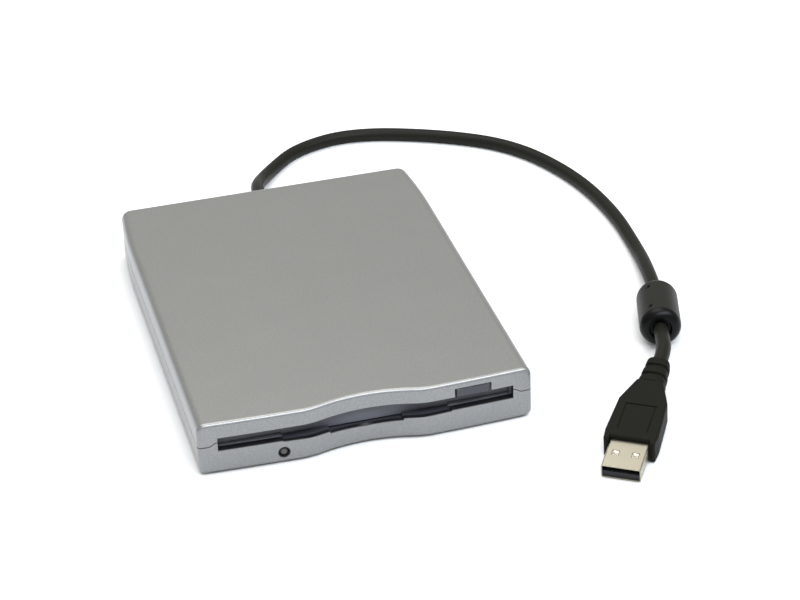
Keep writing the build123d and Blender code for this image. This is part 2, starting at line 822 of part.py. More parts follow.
def access_lamp():
    """Round lamp with a dome, a flange and two leads that lie on the motor board."""
    face_y = bow_point(abs(lamp_x)).Y + 0.3
    bulb = rod_y(lamp_radius, lamp_x, lamp_z, face_y, face_y + lamp_length)
    bulb = fillet(bulb.edges().sort_by(Axis.Y)[0], lamp_radius * 0.6)
    flange_y = face_y + lamp_ring_length + 0.1
    bulb += rod_y(lamp_radius + 0.35, lamp_x, lamp_z, flange_y, flange_y + lamp_flange_thick)
    lead_z = deck_z + board_thick
    lead_y = face_y + lamp_length - 0.5
    end_y = spindle_y - motor_board_front + 2
    for side in (-1, 1):
        x = lamp_x + side * lead_spacing / 2
        bulb += block(x - lead_size / 2, x + lead_size / 2, lead_y, end_y, lead_z, lead_z + lead_size)
    return bulb


# ---------------------------------------------------------------- chassis, shield, holder, slider
def chassis():
    """Pressed steel tray: deck, side walls, lugs for the head drive and seats for the springs."""
    back, front = chassis_back_y, bezel_back_y
    tray = block(-chassis_out, chassis_out, front, back, base_z, deck_z)
    side = block(chassis_in, chassis_out, front, back, deck_z, chassis_wall_top)
    for y in guide_pin_ys:
        half = guide_pin_radius + guide_pin_play
        low = guide_pin_z - drop - half - 0.2
        side -= block(chassis_in - 1, chassis_out + 1, y - half, y + half, low, chassis_wall_top + 1)
    seat_y = spring_seat_y()
    seat = block(
        spring_x - spring_plate_half - 0.6, chassis_in + 0.1, seat_y, seat_y + chassis_sheet,
        spring_z - spring_plate_half, spring_z + spring_plate_half,
    )
    guide = rod_y(spring_guide_radius, spring_x, spring_z, seat_y - spring_guide_length, seat_y + 0.1)
    tray += both_sides(side + seat + guide)
    lug_top = screw_z + 2.4
    lug_back = lug_front_y + chassis_sheet
    rod_lug = block(guide_rod_x - 2.4, guide_rod_x + 2.4, 0, chassis_sheet, deck_z - 0.1, guide_rod_z + 2.2)
    screw_lug = block(screw_x - 2.4, screw_x + 2.4, lug_front_y, lug_back, deck_z - 0.1, lug_top)
    mount = block(
        screw_x - stepper_radius, screw_x + stepper_radius, screw_mount_y, screw_mount_y + chassis_sheet,
        deck_z - 0.1, screw_z + stepper_radius,
    )
    tray += Pos(0, lug_front_y, 0) * rod_lug + Pos(0, back - chassis_sheet, 0) * rod_lug + screw_lug + mount
    tray -= rod_y(guide_rod_radius + press_gap, guide_rod_x, guide_rod_z, lug_front_y - 1, back + 1)
    tray -= rod_y(screw_pivot_radius + 0.05, screw_x, screw_z, lug_front_y - 1, lug_back + 1)
    tray -= rod_y(screw_shaft_radius + 0.05, screw_x, screw_z, screw_mount_y - 1, screw_mount_y + 2)
    tray -= rod_z(bush_radius + press_gap, 0, spindle_y, base_z - 1, deck_z + 1)
    for x, y in mech_screw_places():
        tray += rod_z(mech_collar_radius, x, y, deck_z - 0.1, deck_z + mech_collar_rise)
        tray -= rod_z(case_screw_radius + 0.03, x, y, base_z - 1, deck_z + mech_collar_rise + 1)
    for x, y in control_screw_places():
        post = rod_z(board_post_radius, x, y, deck_z - 0.1, deck_z + control_lift)
        tray += post - rod_z(board_screw_radius + 0.05, x, y, deck_z + 0.2, deck_z + control_lift + 1)
    return tray


def shield_plate():
    """Thin lid over the mechanism, with tabs outside the chassis walls and a window over the heads."""
    out = chassis_out + shield_sheet
    front, back = bezel_back_y + 1, chassis_back_y - 1
    plate = block(-out, out, front, back, shield_z, shield_top_z)
    plate -= block(
        -shield_window, shield_window, head_y - track_span - 6, carriage_y, shield_z - 1, shield_top_z + 1
    )
    middle = guide_pin_ys[1] + shield_tab_length / 2
    tab_ys = (
        front + shield_tab_length, middle - shield_tab_spread,
        middle + shield_tab_length, back - shield_tab_inset,
    )
    low = chassis_wall_top - shield_tab_grip
    for y in tab_ys:
        plate += both_sides(block(chassis_out, out, y, y + shield_tab_length, low, shield_z + 0.1))
    return plate


def lever_point(angle, radius):
    turn = radians(angle)
    return Vector(lever_pivot_x + radius * cos(turn), lever_pivot_y + radius * sin(turn))


def lever_slot():
    """Curved slot in the holder's roof for the lever's tip pin."""
    half = lever_pin_radius + lever_slot_play
    margin = degrees(half / lever_length)
    start, end = lever_rest_angle + margin, lever_rest_angle - lever_sweep - margin
    inner, outer = lever_length - half, lever_length + half
    middle = (start + end) / 2
    edges = [
        ThreePointArc(lever_point(start, inner), lever_point(middle, inner), lever_point(end, inner)),
        Line(lever_point(end, inner), lever_point(end, outer)),
        ThreePointArc(lever_point(end, outer), lever_point(middle, outer), lever_point(start, outer)),
        Line(lever_point(start, outer), lever_point(start, inner)),
    ]
    face = Pos(0, 0, holder_roof_z - 1) * Face(Wire(edges))
    return extrude(face, amount=thin_sheet + 2, dir=(0, 0, 1))


def disk_holder():
    """Sheet cradle that takes the disk: roof, sides, ledges, a stop, guide pins and the lever's stud."""
    front, back = holder_front_y, holder_back_y
    low = disk_level - thin_sheet
    holder = block(-holder_out, holder_out, front, back, holder_roof_z, holder_top_z)
    side = block(holder_in, holder_out, front, back, low, holder_roof_z)
    ledge = block(holder_in - lip_width, holder_in, front, back, low, disk_level)
    for y in guide_pin_ys:
        side += rod_x(guide_pin_radius, y, guide_pin_z, holder_out - 0.1, chassis_out - 0.2)
    holder += both_sides(side + ledge)
    stop = block(slider_window + 3, holder_out, disk_lead_y, back, low, holder_roof_z)
    holder += stop
    heads_y = spindle_y + head_window_behind
    holder -= block(-head_window, head_window + 1, heads_y, back + 1, holder_roof_z - 1, holder_top_z + 1)
    holder -= lever_slot()
    for side in (-1, 1):
        window = Box(holder_window_width, holder_window_length, 3)
        holder -= Pos(side * holder_window_x, spindle_y - holder_window_ahead, holder_roof_z) * window
    stud_top = holder_top_z + lever_gap + lever_sheet + lever_stud_rise
    holder += rod_z(lever_pivot_radius, lever_pivot_x, lever_pivot_y, holder_roof_z, stud_top)
    strip = lift_strip_x()
    holder += block(
        strip, strip + lift_strip_width, heads_y - 1, lift_strip_back(), holder_roof_z, holder_top_z
    )
    return holder


def shutter_lever():
    """Flat arm with a boss at its pivot and a pin at its tip that reaches into the disk's path."""
    z0 = holder_top_z + lever_gap
    z1 = z0 + lever_sheet
    tip = lever_point(lever_rest_angle, lever_length)
    along = (tip - Vector(lever_pivot_x, lever_pivot_y)).normalized()
    across = Vector(-along.Y, along.X) * lever_arm_half
    root = Vector(lever_pivot_x, lever_pivot_y)
    corners = [root + across * 1.6, tip + across, tip - across, root - across * 1.6]
    arm = prism([(c.X, c.Y) for c in corners], z0, z1)
    arm += rod_z(lever_boss_radius, lever_pivot_x, lever_pivot_y, z0, z1)
    arm += rod_z(lever_arm_half, tip.X, tip.Y, z0, z1)
    arm += rod_z(lever_pin_radius, tip.X, tip.Y, holder_roof_z - lever_pin_drop, z1)
    return arm - rod_z(lever_pivot_radius + lever_pivot_play, lever_pivot_x, lever_pivot_y, z0 - 1, z1 + 1)


def lever_spring():
    """Coil on the lever's stud."""
    z0 = holder_top_z + lever_gap + lever_sheet + 0.1
    radius = lever_pivot_radius + lever_spring_wire / 2 + 0.1
    place = Location((lever_pivot_x, lever_pivot_y, z0))
    return coil_spring(radius, lever_spring_wire, lever_spring_wire + 0.05, lever_spring_length, place)


def lift_strip_x():
    return carriage_right + lift_strip_gap


def lift_strip_back():
    return arm_hinge_y - wing_ahead + wing_depth


def spring_seat_y():
    return slider_flange_y() + thin_sheet + spring_length


def slider_flange_y():
    return slider_back_y + slider_flange_behind


def slider_tab(y_pin):
    """Side tab with the sloping slot that lowers one guide pin as the slider moves out."""
    half = guide_pin_radius + guide_pin_play
    y0, y1 = y_pin - slider_tab_margin, y_pin + eject_travel + slider_tab_margin
    z0 = guide_pin_z - drop - half - 0.8
    tab = block(slider_in, slider_out, y0, y1, z0, slider_z + 0.1)
    start = Vector(slider_in - 1, y_pin, guide_pin_z)
    end = Vector(slider_in - 1, y_pin + eject_travel, guide_pin_z - drop)
    along = (end - start).normalized()
    across = Vector(0, -along.Z, along.Y) * half
    slot = extrude(
        Face(Wire.make_polygon([start + across, end + across, end - across, start - across])),
        amount=3, dir=(1, 0, 0),
    )
    slot += rod_x(half, start.Y, start.Z, slider_in - 1, slider_in + 2)
    slot += rod_x(half, end.Y, end.Z, slider_in - 1, slider_in + 2)
    return tab - slot


def eject_slider():
    """Sheet slide over the holder, with slotted side tabs, a tongue for the button and spring flanges."""
    plate = block(-slider_out, slider_out, slider_front_y, slider_back_y, slider_z, slider_top_z)
    plate -= block(
        -slider_window, slider_window, spindle_y + 10, slider_back_y + 1, slider_z - 1, slider_top_z + 1
    )
    for side in (-1, 1):
        hole = Box(slider_hole_width, slider_hole_length, 3)
        plate -= Pos(side * slider_hole_x, spindle_y - slider_hole_ahead, slider_z) * hole
    flange_y = slider_flange_y()
    inner = spring_x - spring_plate_half - 0.4
    tail = block(inner, slider_out, slider_back_y - 0.1, flange_y + thin_sheet, slider_z, slider_top_z)
    flange_low = spring_z - spring_plate_half
    flange = block(inner, slider_in, flange_y, flange_y + thin_sheet, flange_low, slider_z + 0.1)
    side = tail + flange
    for y in guide_pin_ys:
        side += slider_tab(y)
    plate += both_sides(side)
    rear_y = bow_point(button_x).Y + button_depth
    tongue_half = stalk_width / 2 - 0.5
    tongue = block(
        button_x - tongue_half, button_x + tongue_half, rear_y + 2.5, slider_front_y + 0.1,
        slider_z, slider_top_z,
    )
    peg_y = rear_y + stalk_length - peg_inset
    peg_hole = rod_z(peg_radius + peg_play, button_x, peg_y, slider_z - 1, slider_top_z + 1)
    return plate + tongue - peg_hole


def eject_springs():
    """Two compression springs that push the slider out when a disk is taken in."""
    y0 = slider_flange_y() + thin_sheet
    springs = []
    for side in (-1, 1):
        place = Location(Plane(origin=(side * spring_x, y0, spring_z), x_dir=(1, 0, 0), z_dir=(0, 1, 0)))
        springs.append(coil_spring(spring_radius, spring_wire, spring_pitch, spring_length, place))
    return springs


# ---------------------------------------------------------------- disk motor
coil_z = deck_z + board_thick
magnet_z = coil_z + coil_thick + air_gap
yoke_z = magnet_z + magnet_thick
yoke_top_z = yoke_z + yoke_thick
bush_top_z = deck_z + bush_rise


def motor_board():
    y0, y1 = spindle_y - motor_board_front, spindle_y + motor_board_back
    board = block(-motor_board_left, motor_board_right, y0, y1, deck_z, deck_z + board_thick)
    return board - rod_z(bush_flange_radius + 0.5, 0, spindle_y, deck_z - 1, deck_z + 2)


def motor_coils():
    coils = []
    for k in range(coil_count):
        turn = 2 * pi * k / coil_count
        x, y = coil_ring_radius * cos(turn), spindle_y + coil_ring_radius * sin(turn)
        coils.append(tube_z(coil_outer, coil_inner, x, y, coil_z, coil_z + coil_thick))
    return coils


def motor_magnet():
    return tube_z(yoke_radius - yoke_rim - magnet_side_gap, magnet_inner, 0, spindle_y, magnet_z, yoke_z)


def rotor_yoke():
    """Steel cap with a short rim, pressed on the shaft."""
    cap = rod_z(yoke_radius, 0, spindle_y, coil_z + coil_thick + air_gap, yoke_top_z)
    cap -= rod_z(yoke_radius - yoke_rim, 0, spindle_y, magnet_z - 1, yoke_z)
    return cap - rod_z(shaft_radius, 0, spindle_y, yoke_z - 1, yoke_top_z + 1)


def spindle_bush():
    bush = rod_z(bush_radius, 0, spindle_y, base_z, bush_top_z)
    bush += rod_z(bush_flange_radius, 0, spindle_y, deck_z, deck_z + bush_flange_thick)
    return bush - rod_z(shaft_radius + shaft_play, 0, spindle_y, base_z - 1, bush_top_z + 1)


def thrust_plate():
    return rod_z(thrust_radius, 0, spindle_y, base_z - thrust_thick, base_z)


def spindle_shaft():
    """Shaft that turns in the bush; its wider top centres the disk's hub."""
    shaft = rod_z(shaft_radius, 0, spindle_y, base_z + 0.05, yoke_top_z)
    pin_top = yoke_top_z + centre_pin_height
    pin = rod_z(centre_pin_radius, 0, spindle_y, yoke_top_z, pin_top)
    return shaft + chamfer(pin.edges().sort_by(Axis.Z)[-1], 0.4)


def hub_chuck():
    ring = tube_z(chuck_radius, centre_pin_radius, 0, spindle_y, yoke_top_z, yoke_top_z + chuck_thick)
    return ring - rod_z(drive_pin_radius + 0.2, drive_pin_circle, spindle_y, yoke_top_z - 1, yoke_top_z + 1)


def drive_pin():
    pin = rod_z(drive_pin_radius, drive_pin_circle, spindle_y, yoke_top_z, yoke_top_z + drive_pin_height)
    return fillet(pin.edges().sort_by(Axis.Z)[-1], 0.4)


def leaded_chip(x, y, z, width, depth, height, pins):
    """Square chip body with a row of gull-wing legs on each side, as one solid."""
    body = block(x - width / 2, x + width / 2, y - depth / 2, y + depth / 2, z + 0.1, z + height)
    body = chamfer(body.edges().group_by(Axis.Z)[-1], 0.15)
    pitch = (width - 1.2) / (pins - 1)
    for k in range(pins):
        offset = -width / 2 + 0.6 + k * pitch
        leg = Box(pitch * 0.45, depth + 1.6, 0.2)
        body += Pos(x + offset, y, z + 0.1) * leg
    return body


def motor_driver_chip():
    x = -motor_board_left + 7.0
    y = spindle_y - motor_board_front + 7.0
    return leaded_chip(x, y, deck_z + board_thick, 8.0, 6.0, 1.2, 9)


def motor_flex():
    """Flat cable on the deck from the motor board to the control board."""
    x0 = -motor_board_left + 1.0
    y0, y1 = spindle_y + motor_board_back, control_y() + 4.0
    return block(x0, x0 + 8.0, y0, y1, deck_z, deck_z + 0.3)


# ---------------------------------------------------------------- heads and their drive
def head_carriage():
    """Moulded carriage: body on the guide rod, lower arm, ears for the upper arm and screw follower."""
    y0, y1 = carriage_y, carriage_y + carriage_length
    top = carriage_z + carriage_height
    body = block(carriage_left, carriage_right, y0, y1, carriage_z, top)
    body += block(
        -lower_arm_half, lower_arm_half, head_y - head_pad_length / 2 - 1, y0 + 0.1,
        carriage_z, carriage_z + lower_arm_thick,
    )
    body += block(
        -head_block_half, head_block_half, head_y - head_pad_length / 2, head_y + head_pad_length / 2,
        carriage_z + lower_arm_thick - 0.1, medium_z - medium_gap - head_thick,
    )
    ear = block(
        carriage_right - arm_ear_thick, carriage_right, arm_hinge_y - 1.8, arm_hinge_y + 1.8,
        top - 0.1, arm_hinge_z + 1.7,
    )
    ear -= rod_x(arm_pin_radius + arm_pin_play, arm_hinge_y, arm_hinge_z, 0, carriage_right + 1)
    body += both_sides(ear)
    reach = screw_x - screw_radius - follower_gap
    body += block(
        carriage_right - 0.1, reach, needle_y - follower_half, needle_y + follower_half,
        screw_z - 0.8, screw_z + 0.8,
    )
    body += rod_x(needle_radius, needle_y, screw_z, reach - 0.1, screw_x - screw_radius + needle_depth)
    return body - rod_y(guide_rod_radius + rod_play, guide_rod_x, guide_rod_z, y0 - 1, y1 + 1)


def head_pad(z0, z1):
    half_length = head_pad_length / 2 - 0.2
    pad = block(-head_pad_half, head_pad_half, head_y - half_length, head_y + half_length, z0, z1)
    return pad - block(-0.25, 0.25, head_y - head_pad_length, head_y + head_pad_length, z1 - 0.15, z1 + 1)


def lower_head():
    top = medium_z - medium_gap
    return head_pad(top - head_thick, top)


def lifted(part):
    """Upper arm pieces stand raised while no disk is in."""
    hinge = Pos(0, arm_hinge_y, arm_hinge_z)
    return hinge * Rot(-arm_lift_angle, 0, 0) * hinge.inverse() * part


def upper_head_arm():
    """Arm over the disk, on a pin through the carriage's ears, with a wing that the holder lifts."""
    half = carriage_right - arm_ear_thick - arm_ear_gap
    tip = head_y - head_pad_length / 2 - 0.5
    z1 = upper_arm_z + upper_arm_thick
    corners = [
        (-half, arm_hinge_y), (-half, arm_hinge_y - 8), (-head_block_half - 0.6, tip),
        (head_block_half + 0.6, tip), (half, arm_hinge_y - 8), (half, arm_hinge_y),
    ]
    arm = prism(corners, upper_arm_z, z1)
    arm += rod_x(arm_barrel_radius, arm_hinge_y, arm_hinge_z, -half, half)
    room = arm_barrel_radius + 0.3
    arm -= block(
        -half - 1, -half + arm_spring_room, arm_hinge_y - room, arm_hinge_y + room,
        arm_hinge_z - room, arm_hinge_z + room,
    )
    pin = carriage_right - 0.1
    arm += rod_x(arm_pin_radius, arm_hinge_y, arm_hinge_z, -pin, pin)
    arm += block(
        -head_block_half, head_block_half, head_y - head_pad_length / 2, head_y + head_pad_length / 2,
        medium_z + medium_gap + head_thick, upper_arm_z + 0.1,
    )
    # the wing's underside lies just above the lifting strip while the arm is raised
    lift = radians(arm_lift_angle)
    strip_rise = holder_top_z + lift_gap - arm_hinge_z
    wing_z = arm_hinge_z + (strip_rise - (wing_ahead - wing_depth) * sin(lift)) / cos(lift)
    wing_y = arm_hinge_y - wing_ahead
    post = half - 2.0
    arm += block(post, half, wing_y, wing_y + wing_depth, z1 - 0.1, wing_z + wing_thick)
    wing_end = lift_strip_x() + lift_strip_width - 0.5
    arm += block(post, wing_end, wing_y, wing_y + wing_depth, wing_z, wing_z + wing_thick)
    return lifted(arm)


def arm_spring():
    """Coil on the arm's pin that presses the arm down."""
    half = carriage_right - arm_ear_thick - arm_ear_gap
    place = Location(Plane(origin=(-half + 0.1, arm_hinge_y, arm_hinge_z), z_dir=(1, 0, 0)))
    radius = arm_pin_radius + arm_spring_wire / 2 + 0.1
    return coil_spring(radius, arm_spring_wire, arm_spring_pitch, arm_spring_room - 0.3, place)


def upper_head():
    z0 = medium_z + medium_gap
    pad = head_pad(z0, z0 + head_thick)
    return lifted(pad)


def guide_rod():
    return rod_y(guide_rod_radius, guide_rod_x, guide_rod_z, lug_front_y, chassis_back_y)


def lead_screw():
    """Screw with one helical groove, a front pivot and a rear shaft into the stepper."""
    start = lug_front_y + chassis_sheet + 0.15
    end = screw_mount_y - 0.15
    rear = stepper_y() + stepper_length - stepper_wall - 0.2
    body = rod_z(screw_radius, 0, 0, 0, end - start)
    body += rod_z(screw_pivot_radius, 0, 0, lug_front_y - start, 0.1)
    body += rod_z(screw_shaft_radius, 0, 0, end - start - 0.1, rear - start)
    path = Helix(pitch=screw_pitch, height=end - start + 2 * screw_pitch, radius=screw_radius)
    cutter = sweep(Plane(origin=path @ 0, z_dir=path % 0) * Circle(groove_radius), path=path)
    # the helix starts one pitch before the body, a quarter turn round from the body's own seam
    body -= Rot(0, 0, 90) * Pos(0, 0, -screw_pitch) * cutter
    # the screw is turned so that its groove meets the needle, and laid along +Y
    turns_before = (needle_y - start) / screw_pitch
    place = Location(Plane(origin=(screw_x, start, screw_z), x_dir=(1, 0, 0), z_dir=(0, 1, 0)))
    return place * Rot(0, 0, 90 - 360 * turns_before) * body


def stepper_y():
    return screw_mount_y + chassis_sheet


def stepper_can():
    y0, y1 = stepper_y(), stepper_y() + stepper_length
    can = rod_y(stepper_radius, screw_x, screw_z, y0, y1)
    can -= rod_y(stepper_radius - stepper_wall, screw_x, screw_z, y0 + stepper_wall, y1 - stepper_wall)
    return can - rod_y(screw_shaft_radius + 0.05, screw_x, screw_z, y0 - 1, y0 + 2)


def stepper_magnet():
    y0, y1 = stepper_y() + stepper_wall + 0.3, stepper_y() + stepper_length - stepper_wall - 0.3
    radius = stepper_radius - stepper_wall - stepper_air_gap
    magnet = rod_y(radius, screw_x, screw_z, y0, y1)
    return magnet - rod_y(screw_shaft_radius, screw_x, screw_z, y0 - 1, y1 + 1)


def head_flex():
    """Flat flexible lead on edge, looped from the carriage to the control board's connector."""
    x0 = carriage_left - 0.05
    x1 = control_right() - 2.0
    y0 = carriage_y + carriage_length - 2.0
    loop = (x0 - x1) / 2
    start = Vector(x0, y0)
    turn_start = Vector(x0, y0 - 3.0)
    turn_mid = Vector((x0 + x1) / 2, y0 - 3.0 - loop)
    turn_end = Vector(x1, y0 - 3.0)
    half_turn = ThreePointArc(turn_start, turn_mid, turn_end)
    path = Wire([Line(start, turn_start), half_turn, Line(turn_end, Vector(x1, y0 - 1.0))])
    inner_start = start + Vector(-flex_thick, 0)
    section = Pos(0, 0, 0) * Face(
        Wire.make_polygon([
            Vector(start.X, start.Y, 0), Vector(inner_start.X, start.Y, 0),
            Vector(inner_start.X, start.Y, flex_height), Vector(start.X, start.Y, flex_height),
        ])
    )
    return Pos(0, 0, carriage_z + 1.4) * sweep(section, path=path)


# ---------------------------------------------------------------- sensors
def sensor_places():
    y = disk_trail_y + sensor_front
    return {
        "write_protect": (-sensor_x, y),
        "density": (sensor_x, y),
        "disk_in": (-sensor_x, y + sensor_pitch),
    }


def sensor_switches():
    switches = []
    for x, y in sensor_places().values():
        body = block(
            x - sensor_width / 2, x + sensor_width / 2, y - sensor_depth / 2, y + sensor_depth / 2,
            deck_z, deck_z + sensor_height,
        )
        body = chamfer(body.edges().group_by(Axis.Z)[-1], 0.2)
        well = rod_z(plunger_radius + plunger_play, x, y, deck_z + plunger_floor, deck_z + sensor_height + 1)
        switches.append(body - well)
    return switches


def plunger(name):
    x, y = sensor_places()[name]
    top = deck_z + sensor_height + plunger_show
    foot = deck_z + plunger_floor + plunger_play + plunger_travel
    pin = rod_z(plunger_radius, x, y, foot, top)
    return fillet(pin.edges().sort_by(Axis.Z)[-1], 0.35)


# ---------------------------------------------------------------- boards
def control_y():
    return chassis_back_y - control_back_gap - control_depth


def control_right():
    return -chassis_in + control_side_gap + control_width


def control_screw_places():
    y0 = control_y()
    return [
        (-chassis_in + control_side_gap + board_screw_inset, y0 + control_depth - board_screw_inset),
        (control_right() - board_screw_inset, y0 + board_screw_inset),
    ]


def usb_screw_places():
    half = usb_board_width / 2 - board_screw_inset
    y = usb_board_y + usb_board_depth / 2
    return [(usb_board_x - half, y), (usb_board_x + half, y)]


control_z = deck_z + control_lift
ribbon_x = control_right() - 14.5
ribbon_width = 8.0
control_top_z = control_z + control_thick
usb_top_z = usb_board_z + usb_board_thick


def control_board():
    y0 = control_y()
    x0, x1 = -chassis_in + control_side_gap, control_right()
    board = block(x0, x1, y0, y0 + control_depth, control_z, control_top_z)
    for x, y in control_screw_places():
        board -= rod_z(board_screw_radius + 0.1, x, y, control_z - 1, control_top_z + 1)
    return board


def board_screw(x, y, top):
    head = rod_z(board_screw_head, x, y, top, top + board_screw_head_thick)
    head = fillet(head.edges().sort_by(Axis.Z)[-1], 0.3)
    cross = Pos(x, y, top + board_screw_head_thick) * (Box(1.7, 0.4, 0.9) + Box(0.4, 1.7, 0.9))
    return head - cross + rod_z(board_screw_radius, x, y, top - board_thick - 1.3, top)


def board_screws():
    control = [board_screw(x, y, control_top_z) for x, y in control_screw_places()]
    usb = [board_screw(x, y, usb_top_z) for x, y in usb_screw_places()]
    return control + usb


def controller_chip():
    x, y = control_right() - controller_inset, control_y() + controller_behind
    return leaded_chip(x, y, control_top_z, controller_length, controller_width, controller_thick, 12)


def board_capacitors():
    """Small chip capacitors on both boards."""
    caps = []
    for k in range(5):
        x, y = control_right() - capacitor_inset, control_y() + 4.0 + capacitor_pitch * k
        caps.append(block(x, x + 2.0, y, y + 1.2, control_top_z, control_top_z + 1.1))
    for k in range(4):
        x, y = usb_board_x + 16.0 + 2.2 * k, usb_board_y + 1.4
        caps.append(block(x, x + 1.2, y, y + 2.0, usb_top_z, usb_top_z + 1.1))
    return caps


def flex_connectors():
    """Slot connectors for the motor flex, the head flex and the ribbon between the boards."""
    y0 = control_y()
    x_motor = -motor_board_left + 0.5
    motor = block(x_motor, x_motor + 9.0, y0 + 0.4, y0 + 3.2, control_top_z, control_top_z + 1.6)
    x_head = control_right() - 3.2
    y_head = carriage_y + carriage_length - 4.9
    head = block(x_head, x_head + 3.0, y_head, y_head + 4.6, control_top_z, control_top_z + 1.0)
    x0, x1 = ribbon_x, ribbon_x + ribbon_width + 1.0
    end_y = y0 + control_depth - 1
    control = block(x0, x1, end_y - 3, end_y, control_top_z, control_top_z + 1.6)
    usb = block(x0, x1, usb_board_y + 2.2, usb_board_y + 5.2, usb_top_z, usb_top_z + 1.9)
    return [motor, head, control, usb]


def ribbon_flex():
    """Flat ribbon from the control board to the USB board."""
    x0 = ribbon_x + 0.5
    y0, y1 = control_y() + control_depth - 1.0, usb_board_y + 2.2
    z0, z1 = control_top_z + 0.4, usb_top_z + 0.8
    points = [
        (y0, z0), (y0 + 1.0, z0), (y1 - 1.0, z1), (y1, z1),
        (y1, z1 + 0.25), (y1 - 1.0, z1 + 0.25), (y0 + 1.0, z0 + 0.25), (y0, z0 + 0.25),
    ]
    face = Face(Wire.make_polygon([Vector(x0, y, z) for y, z in points]))
    return extrude(face, amount=ribbon_width, dir=(1, 0, 0))


def crystals():
    """Two metal crystal cans with rounded ends, one on each board."""
    cans = []
    for x, y, z in (
        (control_right() - 24.0, control_y() + 19.0, control_top_z),
        (usb_board_x + 12.0, usb_board_y + usb_board_depth / 2, usb_top_z),
    ):
        can = block(x - 2.6, x + 2.6, y - 1.2, y + 1.2, z, z + 1.3)
        cans.append(fillet(can.edges().filter_by(Axis.Z), 1.1))
    return cans


def usb_board():
    half = usb_board_width / 2
    board = block(
        usb_board_x - half, usb_board_x + half, usb_board_y, usb_board_y + usb_board_depth,
        usb_board_z, usb_top_z,
    )
    for x, y in usb_screw_places():
        board -= rod_z(board_screw_radius + 0.1, x, y, usb_board_z - 1, usb_top_z + 1)
    return board


def usb_bridge_chip():
    return leaded_chip(usb_board_x + 5.5, usb_board_y + usb_board_depth / 2, usb_top_z, 5.0, 4.4, 0.75, 6)


def wire_header():
    """White header for the four wires of the cable."""
    x0 = wire_header_x + 0.1
    y0 = usb_board_y + 1.0
    return block(x0, x0 + 3.0, y0, y0 + 5.0, usb_top_z, usb_top_z + wire_header_height)


def data_wires():
    """Four thin wires from the jacket's end to the header."""
    wires = []
    jacket_y = back_wall_y - cable_inner_reach
    wire_radius = 0.45
    for k in range(4):
        side = k - 1.5
        start = Vector(cable_exit_x + side * 0.95, jacket_y, cable_exit_z + 0.9 * (-1) ** k)
        end_y = usb_board_y + 1.9 + 1.05 * k
        end = Vector(wire_header_x + 3.1, end_y, usb_top_z + 1.7)
        bend = Vector(start.X, end_y, start.Z)
        # each wire leaves the jacket along -Y and turns towards the header
        path = FilletPolyline(start, bend, end, radius=0.8)
        section = Plane(origin=path @ 0, z_dir=path % 0) * Circle(wire_radius)
        wires.append(sweep(section, path=path))
    return wires


# ---------------------------------------------------------------- cable
def cable_gland():
    """Rubber boot in the back wall: an inner flange, a neck, and a grooved taper outside."""
    flange_y = back_wall_y - gland_flange_thick
    end_y = back_y + gland_length
    outline = [
        (0, flange_y), (gland_flange_radius, flange_y), (gland_flange_radius, back_wall_y),
        (gland_root_radius, back_wall_y), (gland_root_radius, back_y + 0.8),
        (gland_tip_radius, end_y), (0, end_y),
    ]
    face = Face(Wire.make_polygon([Vector(r, y, 0) for r, y in outline]))
    boot = revolve(face, axis=Axis.Y)
    for k in range(3):
        y = back_y + 2.2 + k * 2.5
        outer = gland_root_radius + 1
        ring = rod_y(outer, 0, 0, y, y + gland_groove_width)
        depth_radius = gland_root_radius - (gland_root_radius - gland_tip_radius) * (k + 1) / 4 - gland_groove
        boot -= ring - rod_y(depth_radius, 0, 0, y - 1, y + 2 * gland_groove_width)
    boot -= rod_y(cable_radius, 0, 0, flange_y - 1, end_y + 1)
    return Pos(cable_exit_x, 0, cable_exit_z) * boot


def cable_inner_end():
    """The cable's jacket inside the gland and the case."""
    start = back_wall_y - cable_inner_reach
    return rod_y(cable_radius, cable_exit_x, cable_exit_z, start, back_y + gland_length)


plug_length = shell_show + plug_body_length + relief_length
_yaw, _tilt = radians(plug_yaw), radians(plug_tilt)
plug_axis = Vector(sin(_yaw) * cos(_tilt), cos(_yaw) * cos(_tilt), sin(_tilt))
plug_across = Vector(cos(_yaw), -sin(_yaw), 0)
# the plug rests on the round tips of its arms
_tip_y = shell_show - plug_arm_length + plug_tip_round
plug_rest = plug_tip_round + (plug_body_thick / 2 - plug_tip_round) * cos(_tilt) - _tip_y * sin(_tilt)
plug_nose = Vector(plug_nose_x, plug_nose_y, plug_rest + table_gap)
plug_tail = plug_nose + plug_axis * plug_length
plug_place = Location(Plane(origin=plug_nose, x_dir=plug_across, z_dir=plug_across.cross(plug_axis)))

# the bead sits in the middle of this run
bead_run_start = (110.1, -21.9, bead_radius + table_gap - 0.09)
bead_run_end = (102.5, -46.9, bead_radius + table_gap + 0.82)

# The cable's route, chosen by hand: out of the gland, down to the table, round to the front and up
# to the plug through the bead. The first and last points lie on the gland's and the plug's end faces.
cable_route = [
    (cable_exit_x, back_y + gland_length, cable_exit_z),
    (1.0, 90.0, 7.6),
    (4.2, 100.2, 4.3),
    (10.8, 111.2, cable_radius),
    (23.2, 124.5, cable_radius),
    (46.0, 130.3, cable_radius),
    (77.0, 117.8, cable_radius),
    (100.0, 101.0, cable_radius),
    (113.2, 73.0, cable_radius),
    (118.0, 42.0, cable_radius),
    (116.6, 13.0, cable_radius),
    (113.9, -2.5, 4.9),
    bead_run_start,
    bead_run_end,
    (100.7, -53.0, 9.1),
    tuple(plug_tail + plug_axis * 7.4),
    tuple(plug_tail),
]


def cable_path():
    points = [Vector(*p) for p in cable_route]
    radii = []
    for before, here, after in zip(points, points[1:], points[2:]):
        turn = (here - before).get_angle(after - here)
        run = min((here - before).length, (after - here).length)
        radii.append(0.45 * run / tan(radians(turn / 2)))
    print("cable radii", [round(r, 1) for r in radii])
    return FilletPolyline(*points, radius=radii)


